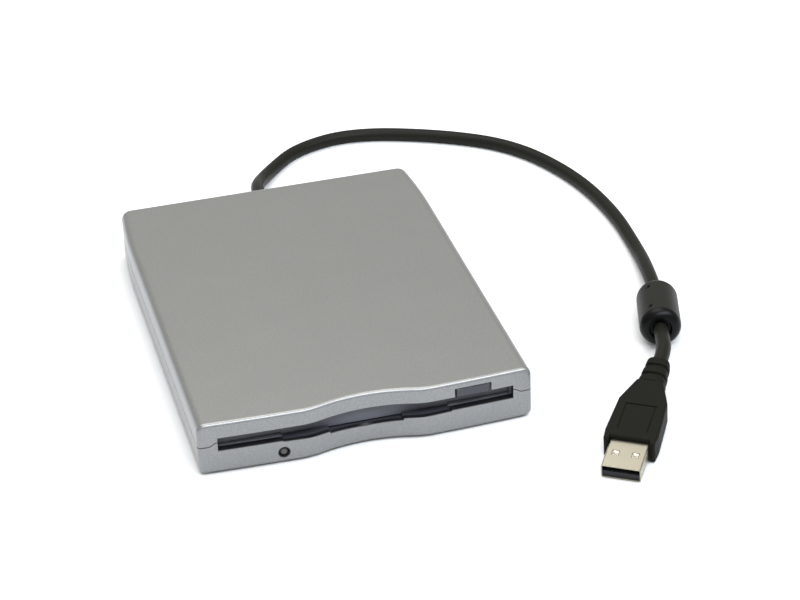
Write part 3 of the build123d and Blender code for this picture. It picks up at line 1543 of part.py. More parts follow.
def usb_cable(path):
    section = Plane(origin=path @ 0, z_dir=path % 0) * Circle(cable_radius)
    return sweep(section, path=path)


def bead_place():
    start, end = Vector(*bead_run_start), Vector(*bead_run_end)
    return Location(Plane(origin=(start + end) * 0.5, x_dir=(0, 0, 1), z_dir=end - start))


def ferrite_bead():
    """Moulded sleeve over the ferrite core, with rounded ends and a recess round the cable."""
    sleeve = Cylinder(bead_radius, bead_length)
    far, near = sleeve.edges().filter_by(GeomType.CIRCLE).sort_by(Axis.Z)
    sleeve = fillet(far, bead_far_round)
    sleeve = fillet(sleeve.edges().filter_by(GeomType.CIRCLE).sort_by(Axis.Z)[-1], bead_near_round)
    for side in (-1, 1):
        sleeve -= Pos(0, 0, side * bead_length / 2) * Cylinder(bead_recess_radius, 2 * bead_recess)
    sleeve -= Cylinder(bead_core_radius, bead_core_length)
    for z in bead_dot_places:
        dot = Pos(bead_radius, 0, -z) * Rot(0, 90, 0) * Cylinder(bead_dot_radius, 2 * bead_dot_deep)
        sleeve -= Rot(0, 0, bead_dot_angle) * dot
    sleeve -= Cylinder(cable_radius, bead_length + 2)
    return bead_place() * sleeve


def ferrite_core():
    core = Cylinder(bead_core_radius, bead_core_length) - Cylinder(cable_radius + 0.1, bead_core_length + 2)
    return bead_place() * core


def plug_shell():
    """Folded metal shell of the plug, open at the mouth, with latch holes above and below."""
    length = shell_show + shell_hidden
    shell = Pos(0, length / 2, 0) * Box(shell_width, length, shell_height)
    shell = fillet(shell.edges().filter_by(Axis.Y), 0.5)
    inner_width, inner_height = shell_width - 2 * shell_sheet, shell_height - 2 * shell_sheet
    shell -= Pos(0, length / 2, 0) * Box(inner_width, length + 2, inner_height)
    for x in (-latch_hole_x, latch_hole_x):
        shell -= Pos(x, latch_hole_y + latch_hole / 2, 0) * Box(latch_hole, latch_hole, shell_height + 2)
    return plug_place * shell


def plug_tongue():
    """White insulator that carries the contacts in the lower half of the shell."""
    low = -shell_height / 2 + shell_sheet
    half = shell_width / 2 - shell_sheet
    block_part = block(-half, half, 0.4, shell_show + shell_hidden, low, low + tongue_block)
    level = low + tongue_block
    ceiling = shell_height / 2 - shell_sheet
    rear = block(-half, half, shell_show + 1.0, shell_show + shell_hidden, level, ceiling)
    tongue = block_part + rear
    for x in (-3.5, -1.0, 1.0, 3.5):
        tongue -= block(x - 0.5, x + 0.5, 0.4 + 0.8, shell_show + 1.0, level - 0.25, level + 1)
    return plug_place * tongue


def plug_contacts():
    low = -shell_height / 2 + shell_sheet + tongue_block
    strips = []
    for x, start in ((-3.5, 1.3), (-1.0, 2.3), (1.0, 2.3), (3.5, 1.3)):
        strip = block(x - 0.5, x + 0.5, start, shell_show + 1.0, low - 0.25, low - 0.02)
        strips.append(plug_place * strip)
    return strips


def plug_outline():
    """Plan of the moulded grip: a narrow neck, sloping shoulders, and two arms beside the shell."""
    y0 = shell_show
    y_end = y0 + plug_body_length
    half = plug_body_width / 2
    y_shoulder = y_end - plug_shoulder
    arm_in = shell_width / 2 + plug_arm_gap
    arm_tip = y0 - plug_arm_length
    right = [
        (arm_in, y0), (arm_in, arm_tip), (half - 0.4, arm_tip), (half, y0 + 3.0),
        (half - 0.7, y_shoulder), (plug_neck_width / 2, y_end),
    ]
    return right + [(-x, y) for x, y in reversed(right)]


def round_off(half_length, y, half_thick, radius):
    """What is cut off above and below to round two front edges along X, at y and half_thick."""
    edge = block(-half_length, half_length, y - 1, y + radius, half_thick - radius, half_thick + 1)
    corner = edge - rod_x(radius, y + radius, half_thick - radius, -half_length, half_length)
    return corner + Rot(0, 180, 0) * corner


def plug_body():
    """Moulded grip with rounded edges, and a groove round three sides of a panel on each face."""
    half = plug_body_thick / 2
    y_end = shell_show + plug_body_length
    body = prism(plug_outline(), -half, half)
    upright = body.edges().filter_by(Axis.Z)
    body = fillet([e for e in upright if shell_show < e.center().Y < y_end], 3.0)
    tips = [
        e for e in body.edges().filter_by(Axis.Z)
        if e.center().Y < shell_show - 1 and abs(e.center().X) > shell_width / 2 + plug_arm_gap + 0.1
    ]
    body = fillet(tips, 1.0)

    def on_rim(edge):
        middle = edge.center()
        inside = abs(middle.X) < shell_width / 2 + plug_arm_gap + 0.01 and middle.Y < shell_show + 0.01
        return abs(middle.Z) > half - 0.01 and middle.Y < y_end - 0.01 and not inside

    body = fillet([e for e in body.edges() if on_rim(e)], plug_round)
    tip_y = shell_show - plug_arm_length
    front_half = shell_width / 2 + plug_arm_gap
    groove_y = shell_show + plug_panel_start
    outer, inner = plug_panel_width / 2, plug_panel_width / 2 - plug_groove
    body -= round_off(plug_body_width, tip_y, half, plug_tip_round)
    body -= round_off(front_half, shell_show, half, plug_front_round)
    for side in (-1, 1):
        groove_end = groove_y + plug_panel_length
        frame = block(-outer, outer, groove_y, groove_end, -plug_groove_deep, plug_groove_deep)
        panel = block(-inner, inner, groove_y - 1, groove_end - plug_groove, -1, 1)
        body -= Pos(0, 0, side * half) * (frame - panel)
    socket = Box(shell_width, shell_hidden + 0.001, shell_height)
    return plug_place * (body - Pos(0, shell_show + shell_hidden / 2, 0) * socket)


def plug_strain_relief():
    """Flexible tail of the plug, with grooves, tapering to the cable."""
    y0 = shell_show + plug_body_length
    y1 = y0 + relief_length
    tail, root = relief_tail_width / 2, plug_neck_width / 2
    outline = [(-root, y0), (-tail, y1), (tail, y1), (root, y0)]
    half = relief_thick / 2
    relief = prism(outline, -half, half)
    relief = fillet([e for e in relief.edges() if y0 + 0.01 < e.center().Y < y1 - 0.01], 2.2)
    for k in range(4):
        y = y0 + 1.3 + k * rib_pitch
        band = Pos(0, y + rib_width / 2, 0) * Box(2 * root + 2, rib_width, relief_thick + 2)
        share = (y + rib_width / 2 - y0) / relief_length
        core_half = root + (tail - root) * share - rib_depth
        core = Pos(0, y + rib_width / 2, 0) * Box(2 * core_half, rib_width + 1, relief_thick - 2 * rib_depth)
        core = fillet(core.edges().filter_by(Axis.Y), 1.8)
        relief -= band - core
    return plug_place * relief


# ---------------------------------------------------------------- build and export
def main():
    shell = case_body() - case_hollow(wall, floor_z, roof_z, top_side_round - wall)
    path = cable_path()
    cable = usb_cable(path)
    print("cable length", round(path.length, 1))
    print("volume over section", round(cable.volume / (pi * cable_radius**2), 1))
    nodes = {
        "top_cover": top_cover(shell),
        "bottom_cover": bottom_cover(shell),
        "rubber_feet": rubber_feet(),
        "case_screws": case_screws(),
        "mechanism_screws": mechanism_screws(),
        "front_bezel": front_bezel(),
        "door_flap": door_flap(),
        "door_spring": door_spring(),
        "eject_button": eject_button(),
        "eject_slider": eject_slider(),
        "eject_springs": eject_springs(),
        "lamp_ring": lamp_ring(),
        "access_lamp": access_lamp(),
        "chassis": chassis(),
        "shield_plate": shield_plate(),
        "disk_holder": disk_holder(),
        "shutter_lever": shutter_lever(),
        "lever_spring": lever_spring(),
        "motor_board": motor_board(),
        "motor_coils": motor_coils(),
        "motor_magnet": motor_magnet(),
        "rotor_yoke": rotor_yoke(),
        "spindle_bush": spindle_bush(),
        "thrust_plate": thrust_plate(),
        "spindle_shaft": spindle_shaft(),
        "hub_chuck": hub_chuck(),
        "drive_pin": drive_pin(),
        "flat_cables": [motor_flex(), ribbon_flex()],
        "head_carriage": head_carriage(),
        "lower_head": lower_head(),
        "upper_head_arm": upper_head_arm(),
        "upper_head": upper_head(),
        "arm_spring": arm_spring(),
        "guide_rod": guide_rod(),
        "lead_screw": lead_screw(),
        "stepper_can": stepper_can(),
        "stepper_magnet": stepper_magnet(),
        "head_flex": head_flex(),
        "sensor_switches": sensor_switches(),
        "write_protect_plunger": plunger("write_protect"),
        "density_plunger": plunger("density"),
        "disk_in_plunger": plunger("disk_in"),
        "control_board": control_board(),
        "board_chips": [motor_driver_chip(), controller_chip(), usb_bridge_chip()],
        "board_parts": board_capacitors() + crystals(),
        "flex_connectors": flex_connectors(),
        "board_screws": board_screws(),
        "usb_board": usb_board(),
        "wire_header": wire_header(),
        "data_wires": data_wires(),
        "cable_gland": cable_gland(),
        "cable_inner_end": cable_inner_end(),
        "usb_cable": cable,
        "ferrite_bead": ferrite_bead(),
        "ferrite_core": ferrite_core(),
        "plug_strain_relief": plug_strain_relief(),
        "plug_body": plug_body(),
        "plug_shell": plug_shell(),
        "plug_tongue": plug_tongue(),
        "plug_contacts": plug_contacts(),
    }
    for name, shape in nodes.items():
        solids = shape if isinstance(shape, list) else [shape]
        export_step(Compound(children=[s for part in solids for s in part.solids()]), f"parts/{name}.step")


main()
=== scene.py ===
# %% [markdown]
# # A slim USB floppy disk drive
# This lesson dresses a finished CAD model of a portable floppy drive. The model comes in as a
# fixed frame of named pieces, already at their real size in metres. Here each piece gets the
# finish of the real one, and the soft and moulded pieces are made as smooth surfaces.

# %% Load the frame
from math import cos, pi, radians, sin, tau

import bpy
import numpy as np
from mathutils import Matrix, Vector


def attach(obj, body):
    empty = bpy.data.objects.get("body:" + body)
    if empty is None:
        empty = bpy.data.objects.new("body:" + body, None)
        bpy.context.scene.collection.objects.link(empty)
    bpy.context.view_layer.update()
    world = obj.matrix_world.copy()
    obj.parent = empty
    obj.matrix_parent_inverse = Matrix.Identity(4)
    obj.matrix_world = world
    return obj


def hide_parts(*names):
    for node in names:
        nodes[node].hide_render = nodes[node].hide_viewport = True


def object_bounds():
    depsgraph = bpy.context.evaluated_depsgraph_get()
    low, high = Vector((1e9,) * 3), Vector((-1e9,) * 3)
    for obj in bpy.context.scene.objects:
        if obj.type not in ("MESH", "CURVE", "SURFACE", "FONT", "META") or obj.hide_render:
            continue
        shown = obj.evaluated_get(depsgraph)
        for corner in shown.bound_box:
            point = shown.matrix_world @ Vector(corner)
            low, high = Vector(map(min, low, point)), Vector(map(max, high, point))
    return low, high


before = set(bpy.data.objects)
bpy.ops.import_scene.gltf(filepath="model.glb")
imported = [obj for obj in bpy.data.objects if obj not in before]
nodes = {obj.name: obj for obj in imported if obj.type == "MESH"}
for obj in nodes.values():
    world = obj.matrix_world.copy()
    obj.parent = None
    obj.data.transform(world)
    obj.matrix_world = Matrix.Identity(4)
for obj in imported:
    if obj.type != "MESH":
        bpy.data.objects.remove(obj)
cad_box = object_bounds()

mm = 0.001
cad_size = [round(side / mm, 1) for side in cad_box[1] - cad_box[0]]
print("pieces in the frame:", len(nodes), "size in mm:", cad_size)

# %% [markdown]
# ## Camera
# A small object is best seen from a good arm's length through a long lens, so that its edges
# stay nearly parallel. The camera looks down on the drive from its left front corner. Its own
# three axes, right, up and back, are worked out from three angles, and they are the columns of
# the matrix that places it. Three angles are easier to correct than the nine numbers they give.

# %% Camera
camera_azimuth = radians(-14.14)
camera_elevation = radians(30.77)
camera_roll = radians(-2.32)
camera_place = Vector((-0.14072, -0.67459, 0.42091))
camera_lens_mm = 111.2
nearest_seen = 0.01

back = Vector((
    sin(camera_azimuth) * cos(camera_elevation),
    -cos(camera_azimuth) * cos(camera_elevation),
    sin(camera_elevation),
))
level = Vector((cos(camera_azimuth), sin(camera_azimuth), 0))
upright = back.cross(level)
right = cos(camera_roll) * level + sin(camera_roll) * upright
up = cos(camera_roll) * upright - sin(camera_roll) * level

camera = bpy.data.objects.new("camera", bpy.data.cameras.new("camera"))
bpy.context.scene.collection.objects.link(camera)
camera.data.lens = camera_lens_mm
camera.data.clip_start = nearest_seen
turn = Matrix((right, up, back)).transposed()
camera.matrix_world = Matrix.Translation(camera_place) @ turn.to_4x4()
bpy.context.scene.camera = camera
print("camera stands", round(camera_place.length, 3), "m from the middle of the drive")

# %% [markdown]
# ## Points and faces from arrays
# Every new piece is a grid of points: rows run along the piece and columns run round it. One
# helper turns such a grid into a mesh. The faces come from the grid's own numbering, so no loop
# over points is needed: the four corners of each face are the grid of indices and its copies
# shifted by one row, one column, and both.

# %% Grid to mesh
def skin(name, grid, along, closed_rows=False, caps=False):
    """Mesh object from a grid of points of shape (rows, columns, 3).

    Face (i, j) joins points (i, j), (i, j+1), (i+1, j+1) and (i+1, j). The columns wrap round, and
    so do the rows where they are closed; caps close the first and last row with one face each.
    The UV map's U is how far along the piece each row lies, in metres.
    """
    rows, columns = grid.shape[:2]
    index = np.arange(rows * columns).reshape(rows, columns)
    index = np.concatenate([index, index[:, :1]], axis=1)
    if closed_rows:
        index = np.concatenate([index, index[:1]], axis=0)
    quads = np.stack([index[:-1, :-1], index[:-1, 1:], index[1:, 1:], index[1:, :-1]], axis=-1)
    faces = quads.reshape(-1, 4).tolist()
    if caps:
        faces.append(list(range(columns))[::-1])
        faces.append(list(range((rows - 1) * columns, rows * columns)))
    mesh = bpy.data.meshes.new(name)
    mesh.from_pydata(grid.reshape(-1, 3).tolist(), [], faces)
    mesh.polygons.foreach_set("use_smooth", np.ones(len(mesh.polygons), dtype=bool))
    corner_points = np.zeros(len(mesh.loops), dtype=int)
    mesh.loops.foreach_get("vertex_index", corner_points)
    row_of, column_of = np.divmod(corner_points, columns)
    uv = np.column_stack([np.asarray(along)[row_of], column_of / columns])
    mesh.uv_layers.new(name="along").uv.foreach_set("vector", uv.ravel())
    mesh.update()
    piece = bpy.data.objects.new(name, mesh)
    bpy.context.scene.collection.objects.link(piece)
    print(name, len(mesh.vertices), "points", len(mesh.polygons), "faces")
    return piece


print("helper ready: a grid of points becomes a mesh")

# %% [markdown]
# ## Where the plug lies
# The plug lies at a slant on the table with its nose down, because the stiff cable holds up its
# tail. Two angles and the place of its mouth fix it. They give three directions, across, along
# and up, and the pieces of the plug are laid out in these.

# %% Place of the plug
plug_yaw, plug_tilt = radians(32.9), radians(7.0)
plug_length = 52.2 * mm
plug_nose = Vector((66.3 * mm, -110.3 * mm, 2.494 * mm))
plug_along = Vector((
    sin(plug_yaw) * cos(plug_tilt), cos(plug_yaw) * cos(plug_tilt), sin(plug_tilt),
))
plug_across = Vector((cos(plug_yaw), -sin(plug_yaw), 0))
plug_up = plug_across.cross(plug_along)
plug_tail = plug_nose + plug_along * plug_length


def plug_placed(local_mm):
    """Points given as across, along and up from the plug's mouth, in mm, moved into the frame.

    Point = nose + across * plug's across + along * plug's along + up * plug's up.
    """
    axes = np.array([plug_across, plug_along, plug_up])
    return np.asarray(local_mm) @ axes * mm + np.array(plug_nose)


print("plug's tail in mm:", [round(part / mm, 1) for part in plug_tail])

# %% [markdown]
# ## The cable
# The lead of the drive is a round, fairly stiff cable. It leaves the back, drops to the table,
# swings round in one loose bow and comes forward to its plug. A tube of faces would do, but a
# cable never has a corner, and its line is easier to lay as a NURBS curve: its points pull the
# line towards them and the line passes smoothly between. The curve's own bevel gives it its
# round section.

# %% Route of the cable, in mm
cable_radius_mm = 2.35
cable_diameter = 2 * cable_radius_mm * mm
cable_exit = Vector((0.5, 81.0, 8.6)) * mm
bead_run = ((110.1, -21.9, 6.63), (102.5, -46.9, 7.54))
straight_behind_plug = 7.4

cable_route = [
    tuple(cable_exit / mm),
    (1.0, 90.0, 7.6),
    (4.2, 100.2, 4.3),
    (10.8, 111.2, cable_radius_mm),
    (23.2, 124.5, cable_radius_mm),
    (46.0, 130.3, cable_radius_mm),
    (77.0, 117.8, cable_radius_mm),
    (100.0, 101.0, cable_radius_mm),
    (113.2, 73.0, cable_radius_mm),
    (118.0, 42.0, cable_radius_mm),
    (116.6, 13.0, cable_radius_mm),
    (113.9, -2.5, 4.9),
    *bead_run,
    (100.7, -53.0, 9.1),
    tuple((plug_tail + plug_along * straight_behind_plug * mm) / mm),
    tuple(plug_tail / mm),
]
print("points that pull the cable:", len(cable_route))

# %% Cable as a curve
def route_curve(name, points, radius):
    """A NURBS line through the pull of the points, round in section where radius is above 0.

    The bevel is 1 m and each point scales it by the radius.
    """
    curve = bpy.data.curves.new(name, "CURVE")
    curve.dimensions = "3D"
    spline = curve.splines.new("NURBS")
    spline.points.add(len(points) - 1)
    weighted = np.column_stack([np.array(points) * mm, np.ones(len(points))])
    spline.points.foreach_set("co", weighted.ravel())
    spline.order_u = 3
    spline.use_endpoint_u = True
    spline.resolution_u = 12
    spline.points.foreach_set("radius", np.full(len(points), radius))
    curve.bevel_depth = 1.0 if radius > 0 else 0.0
    curve.bevel_resolution = 6
    curve.use_fill_caps = radius > 0
    piece = bpy.data.objects.new(name, curve)
    bpy.context.scene.collection.objects.link(piece)
    return piece


usb_lead = route_curve("usb_lead", cable_route, cable_diameter / 2)
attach(usb_lead, "case")
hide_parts("usb_cable")
print("cable thickness in mm:", round(cable_diameter / mm, 2))

# %% [markdown]
# ## The cable's centre line
# A plain line along the same route, without thickness, is turned into a mesh for a moment, and
# its points are read out.

# %% Points of the centre line
centre_line = route_curve("centre_line", cable_route, 0)
line_mesh = bpy.data.meshes.new_from_object(centre_line)
line_points = np.zeros(len(line_mesh.vertices) * 3)
line_mesh.vertices.foreach_get("co", line_points)
line_points = line_points.reshape(-1, 3)
bpy.data.objects.remove(centre_line)
bpy.data.meshes.remove(line_mesh)

# %% [markdown]
# ## The bead on the cable
# The bead is a ferrite ring under a moulded sleeve, which damps electrical noise. It is round, so
# it is one profile turned about the cable's line. The profile is drawn once as distances along
# and out from that line: a full round at the far end, the barrel, a smaller round, and a stepped
# recess where the cable comes out towards the plug. Two pins of the mould leave a dent each. A
# dent could be cut with a boolean, but lowering the radius where a point lies near it keeps the
# mesh an even grid.

# %% Measures of the bead, in mm
bead_from, bead_to = np.array(bead_run[0]), np.array(bead_run[1])
bead_radius, bead_half = 6.7, 12.0
bead_far_round, bead_near_round = 4.0, 3.0
recess_back = np.array([0.03, 0.2, 0.9, 1.3, 1.4, 1.3, 1.3, 1.4])
recess_out = np.array([3.62, 3.55, 3.45, 3.3, 3.05, 2.85, 2.6, 2.3])
dent_radius, dent_depth, dent_edge = 0.72, 0.95, 0.06
dent_angle = radians(29)
dents_along = (-6.1, 6.6)
print("bead in mm:", 2 * bead_radius, "across", 2 * bead_half, "long")

# %% Bead
def unit(vector):
    """The vector divided by its own length."""
    return vector / np.linalg.norm(vector)


def round_corner(centre, radius, first, last, steps):
    """Points of a corner's arc: centre + radius * (cos, sin), turning from first to last degree."""
    turn = np.radians(np.linspace(first, last, steps))
    return np.column_stack([
        centre[0] + radius * np.cos(turn), centre[1] + radius * np.sin(turn),
    ])


def bead_profile(barrel_rows=150, far_steps=28, near_steps=14):
    """Distances along and out: quarter circle, straight barrel, quarter circle, recess."""
    far_centre = (-bead_half + bead_far_round, bead_radius - bead_far_round)
    near_centre = (bead_half - bead_near_round, bead_radius - bead_near_round)
    barrel = np.linspace(far_centre[0], near_centre[0], barrel_rows)[1:-1]
    return np.vstack([
        round_corner(far_centre, bead_far_round, 180, 90, far_steps),
        np.column_stack([barrel, np.full(len(barrel), bead_radius)]),
        round_corner(near_centre, bead_near_round, 90, 0, near_steps),
        np.column_stack([bead_half - recess_back, recess_out]),
    ])


def bead_surface(columns=260, barrel_band=1.0, steepest=30):
    """Profile turned: middle + along * axis + radius * (cos * top + sin * side).

    The radius is the profile's distance out. Within a dent it loses the dent's depth times
    1 / (1 + e^((distance - dent radius) / edge)), a smooth step down at the dent's own radius.
    """
    profile = bead_profile()
    along, out = profile[:, :1], profile[:, 1:]
    turn = np.linspace(0, tau, columns, endpoint=False)[None, :]
    radius = np.repeat(out, columns, axis=1)
    for place in dents_along:
        away = np.hypot(along - place, bead_radius * (turn - dent_angle))
        near_dent = (out > bead_radius - barrel_band) * (away < 4 * dent_radius)
        slope = np.clip((away - dent_radius) / dent_edge, -steepest, steepest)
        radius = radius - dent_depth * near_dent / (1 + np.exp(slope))
    axis = unit(bead_to - bead_from)
    top = unit(np.array([0, 0, 1.0]) - axis * axis[2])
    side = np.cross(axis, top)
    ring = np.cos(turn)[..., None] * top + np.sin(turn)[..., None] * side
    points = (bead_from + bead_to) / 2 + along[..., None] * axis + radius[..., None] * ring
    return points * mm, profile[:, 0] * mm


bead_points, bead_along = bead_surface()
bead_sleeve = skin("bead_sleeve", bead_points, bead_along, closed_rows=True)
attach(bead_sleeve, "case")
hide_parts("ferrite_bead")

# %% [markdown]
# ## The plug's tail
# Where the cable enters the plug it would soon break, so the grip ends in a softer tail with
# rings, which lets the cable bend in a wide curve. Each section is a superellipse, a form between
# an oval and a box, whose width and thickness shrink from the grip to the cable. The rings are
# steps in that size with rounded shoulders and narrow grooves between them. Stacked discs would
# give the rings too, but one surface has no seams between them.

# %% Ringed tail, in mm
tail_from, tail_length = 39.2, 13.0
ring_count, ring_height, groove_share, shoulder_power = 3, 0.85, 0.24, 7
root_half = np.array([3.6, 2.95])
end_half = np.array([2.75, 2.6])
mouth_half = np.array([1.9, 1.9])
tail_squareness = 2 / 3


def superellipse(columns, power):
    """Once round: sign(cos) * |cos|^power across and sign(sin) * |sin|^power up."""
    turn = np.linspace(0, tau, columns, endpoint=False)
    across, up = np.cos(turn), np.sin(turn)
    return np.sign(across) * np.abs(across) ** power, np.sign(up) * np.abs(up) ** power


def tail_surface(rows=150, columns=72):
    """Sections at equal steps: half size = taper + ring height * step, on a superellipse.

    The step is (1 - |2f - 1|^7)^0.5, where f runs from 0 to 1 over the part of each ring that
    isn't groove. The last section turns in to the cable.
    """
    share = np.linspace(0, 1, rows)
    within = (share * ring_count) % 1.0
    within[-1] = 1.0
    within = np.clip((within - groove_share / 2) / (1 - groove_share), 0, 1)
    step = np.sqrt(1 - np.abs(2 * within - 1) ** shoulder_power)
    half = root_half + (end_half - root_half) * share[:, None] + ring_height * step[:, None]
    half = np.vstack([half, mouth_half])
    along = tail_from + share * tail_length
    along = np.append(along, along[-1])
    wide, high = superellipse(columns, tail_squareness)
    local = np.stack([
        half[:, :1] * wide, np.repeat(along[:, None], columns, axis=1), half[:, 1:] * high,
    ], axis=-1)
    return plug_placed(local), along * mm


tail_points, tail_along = tail_surface()
ringed_tail = skin("ringed_tail", tail_points[:, ::-1], tail_along, caps=True)
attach(ringed_tail, "case")
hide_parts("plug_strain_relief")

# %% [markdown]
# ## The pressed dimples of the shell
# The plug's shell is folded from thin steel. Two windows on its top and two below catch the
# socket's springs, and a shallow pressed dimple closes each of them. A dimple is a dish: rings
# that shrink towards the middle and sink along half a cosine. As pieces of their own the dishes
# leave the shell's mesh alone.

# %% Latch dimples, in mm
dimple_half, dimple_depth, dimple_back = 1.0, 0.2, 0.3
dimple_across, dimple_along = 3.0, 6.3
dimple_rings, dimple_centre, dimple_squareness = 10, 0.97, 0.4
rim_sunk, shell_top = 0.04, 2.25


def dimple(across, side, columns=40):
    """Rounded square rings of size 1 - share, sunk by depth * (1 - cos(pi * share)) / 2."""
    share = np.linspace(0, dimple_centre, dimple_rings)
    size = np.append(1.0, 1 - share) * dimple_half
    sunk = np.append(dimple_back, dimple_depth * (1 - np.cos(pi * share)) / 2 + rim_sunk)
    wide, long = superellipse(columns, dimple_squareness)
    local = np.stack([
        across + size[:, None] * wide, dimple_along + size[:, None] * long,
        np.repeat((side * (shell_top - sunk))[:, None], columns, axis=1),
    ], axis=-1)
    grid = plug_placed(local)
    return grid if side > 0 else grid[:, ::-1]


dimples = []
for side, side_name in ((1, "top"), (-1, "under")):
    for across, hand in ((-dimple_across, "left"), (dimple_across, "right")):
        no_length = np.zeros(dimple_rings + 1)
        dish = skin(f"latch_dimple_{side_name}_{hand}", dimple(across, side), no_length, caps=True)
        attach(dish, "case")
        dimples.append(dish)

# %% [markdown]
# ## More than a shape
# A cable is more than a shape: it has a length, a thickness and a stiffness, and it carries the
# bead and the plug.

# %% [markdown]
# ## Floor and light
# The drive lies on a plain white floor under large soft lamps, so its shadows are faint and the
# silver shows broad, gentle reflections. A small lamp would give hard shadows, and the sky alone
# would leave the paint flat. The floor lies a hair below the feet, because two faces in the same
# plane would flicker.

# %% Floor
scene = bpy.context.scene
scene.view_settings.view_transform = "Standard"
floor_reach, floor_drop = 3.0, 0.02 * mm
corners = np.array([(-1, -1, 0), (1, -1, 0), (1, 1, 0), (-1, 1, 0)], dtype=float) * floor_reach
corners[:, 2] -= floor_drop
floor_mesh = bpy.data.meshes.new("floor")
floor_mesh.from_pydata(corners.tolist(), [], [(0, 1, 2, 3)])
floor = bpy.data.objects.new("floor", floor_mesh)
scene.collection.objects.link(floor)
print("floor reaches", floor_reach, "m each way")

# %% Lights
warm_white, cool_white, plain_white = (1.0, 0.995, 0.966), (0.87, 0.93, 1.0), (1, 1, 1)
sky_strength = 0.62

world = bpy.data.worlds.new("studio")
world.use_nodes = True
sky = world.node_tree.nodes["Background"].inputs
sky["Color"].default_value = (*warm_white, 1)
sky["Strength"].default_value = sky_strength
scene.world = world


def soft_lamp(name, place, width, depth, power, colour):
    """Area lamp at place, width by depth metres, aimed at the drive."""
    light = bpy.data.lights.new(name, "AREA")
    light.shape = "RECTANGLE"
    light.size, light.size_y = width, depth
    light.energy = power
    light.color = colour
    lamp = bpy.data.objects.new(name, light)
    scene.collection.objects.link(lamp)
    aim = (-Vector(place)).to_track_quat("-Z", "Y")
    lamp.matrix_world = Matrix.Translation(place) @ aim.to_matrix().to_4x4()


soft_lamp("front_lamp", (0.24, -0.62, 0.96), 1.3, 0.34, 16, cool_white)
soft_lamp("top_lamp", (-0.1, 0.35, 1.2), 1.0, 1.0, 12, plain_white)

# %% [markdown]
# ## Shader maths in plain Python
# A material is a small machine of nodes wired together. Written out by hand it is long, so one
# class wraps a node's output and lets Python's own signs add the maths nodes: `1 - grain * 0.2`
# makes a Multiply and a Subtract node.

# %% Wires
class Wire:
    """A node's output. Sums and products on it add Math nodes."""

    def __init__(self, finish, socket):
        self.finish, self.socket = finish, socket

    def maths(self, operation, *values):
        return self.finish.node("ShaderNodeMath", {"operation": operation}, *values)

    def __add__(self, other):
        return self.maths("ADD", self, other)

    def __sub__(self, other):
        return self.maths("SUBTRACT", self, other)

    def __rsub__(self, other):
        return self.maths("SUBTRACT", other, self)

    def __mul__(self, other):
        return self.maths("MULTIPLY", self, other)

    __radd__ = __add__
    __rmul__ = __mul__

    def root(self):
        return self.maths("SQRT", self)

    def size(self):
        """The number without its sign, as the root of its square."""
        return (self * self).root()

    def atleast(self, other):
        return self.maths("MAXIMUM", self, other)

    def above(self, edge, width):
        """0 below edge, 1 above edge + width, smooth between."""
        settings = {"interpolation_type": "SMOOTHSTEP"}
        return self.finish.node("ShaderNodeMapRange", settings, self, edge, edge + width)


print("wires ready")

# %% [markdown]
# ## A finish while it is being made
# A second class holds the material and its one shader. Each new node comes from one method, which
# first sets how the node works and then fills its sockets with numbers or wires. The patterns
# read Object coordinates, so they have their real size in metres and stay on the piece when it
# moves.

# %% Finishes
class Finish:
    """A material while it is being made, with its one Principled shader."""

    def __init__(self, name, **plain):
        self.material = bpy.data.materials.new(name)
        self.material.use_nodes = True
        self.tree = self.material.node_tree
        self.shader = self.tree.nodes["Principled BSDF"]
        self.place = self.node("ShaderNodeTexCoord", output="Object")
        self.set(**plain)

    def fill(self, socket, value):
        """Link a wire to the socket, or set its number or colour."""
        if isinstance(value, Wire):
            self.tree.links.new(value.socket, socket)
        elif isinstance(value, tuple) and len(value) == 3 and socket.type == "RGBA":
            socket.default_value = (*value, 1)
        else:
            socket.default_value = value

    def node(self, kind, settings=None, *values, output=0, **named):
        """New node: its settings first, then its sockets in order or by name, as value or wire."""
        made = self.tree.nodes.new(kind)
        for key, value in (settings or {}).items():
            setattr(made, key, value)
        for socket, value in zip(made.inputs, values):
            self.fill(socket, value)
        for key, value in named.items():
            self.fill(made.inputs[key.replace("_", " ").title()], value)
        return Wire(self, made.outputs[output])

    def set(self, **named):
        """Sockets of the Principled shader, by name with underscores."""
        for key, value in named.items():
            label = {"specular": "Specular IOR Level"}.get(key, key.replace("_", " ").title())
            self.fill(self.shader.inputs[label], value)

    def split(self, vector):
        """The three numbers of a vector, each as a wire."""
        parts = self.node("ShaderNodeSeparateXYZ", None, vector).socket.node
        return [Wire(self, parts.outputs[k]) for k in range(3)]

    def stretched(self, x, y, z):
        """Object coordinates scaled apart along the three axes."""
        return self.node("ShaderNodeMapping", {"vector_type": "POINT"}, self.place, Scale=(x, y, z))

    def noise(self, lump, detail=2.0, rough=0.5, place=None):
        """Cloudy pattern from 0 to 1, whose lumps are about so many metres wide."""
        return self.node(
            "ShaderNodeTexNoise", {"noise_dimensions": "3D"},
            Vector=place or self.place, Scale=1 / lump, Detail=detail, Roughness=rough,
        )

    def blend(self, share, first, second):
        """Colour between first, at share 0, and second, at share 1."""
        mixed = self.node("ShaderNodeMix", {"data_type": "RGBA"}, share, output=2)
        first_colour, second_colour = mixed.socket.node.inputs[6:8]
        self.fill(first_colour, first)
        self.fill(second_colour, second)
        return mixed

    def bump(self, height, depth):
        """Normal tilted by a height pattern, depth metres from its lowest to its highest."""
        return self.node("ShaderNodeBump", None, Strength=1.0, Distance=depth, Height=height)


def shaded(tone, factor):
    """Each of a tone's three parts times the factor."""
    return tuple(part * factor for part in tone)


print("finishes ready")
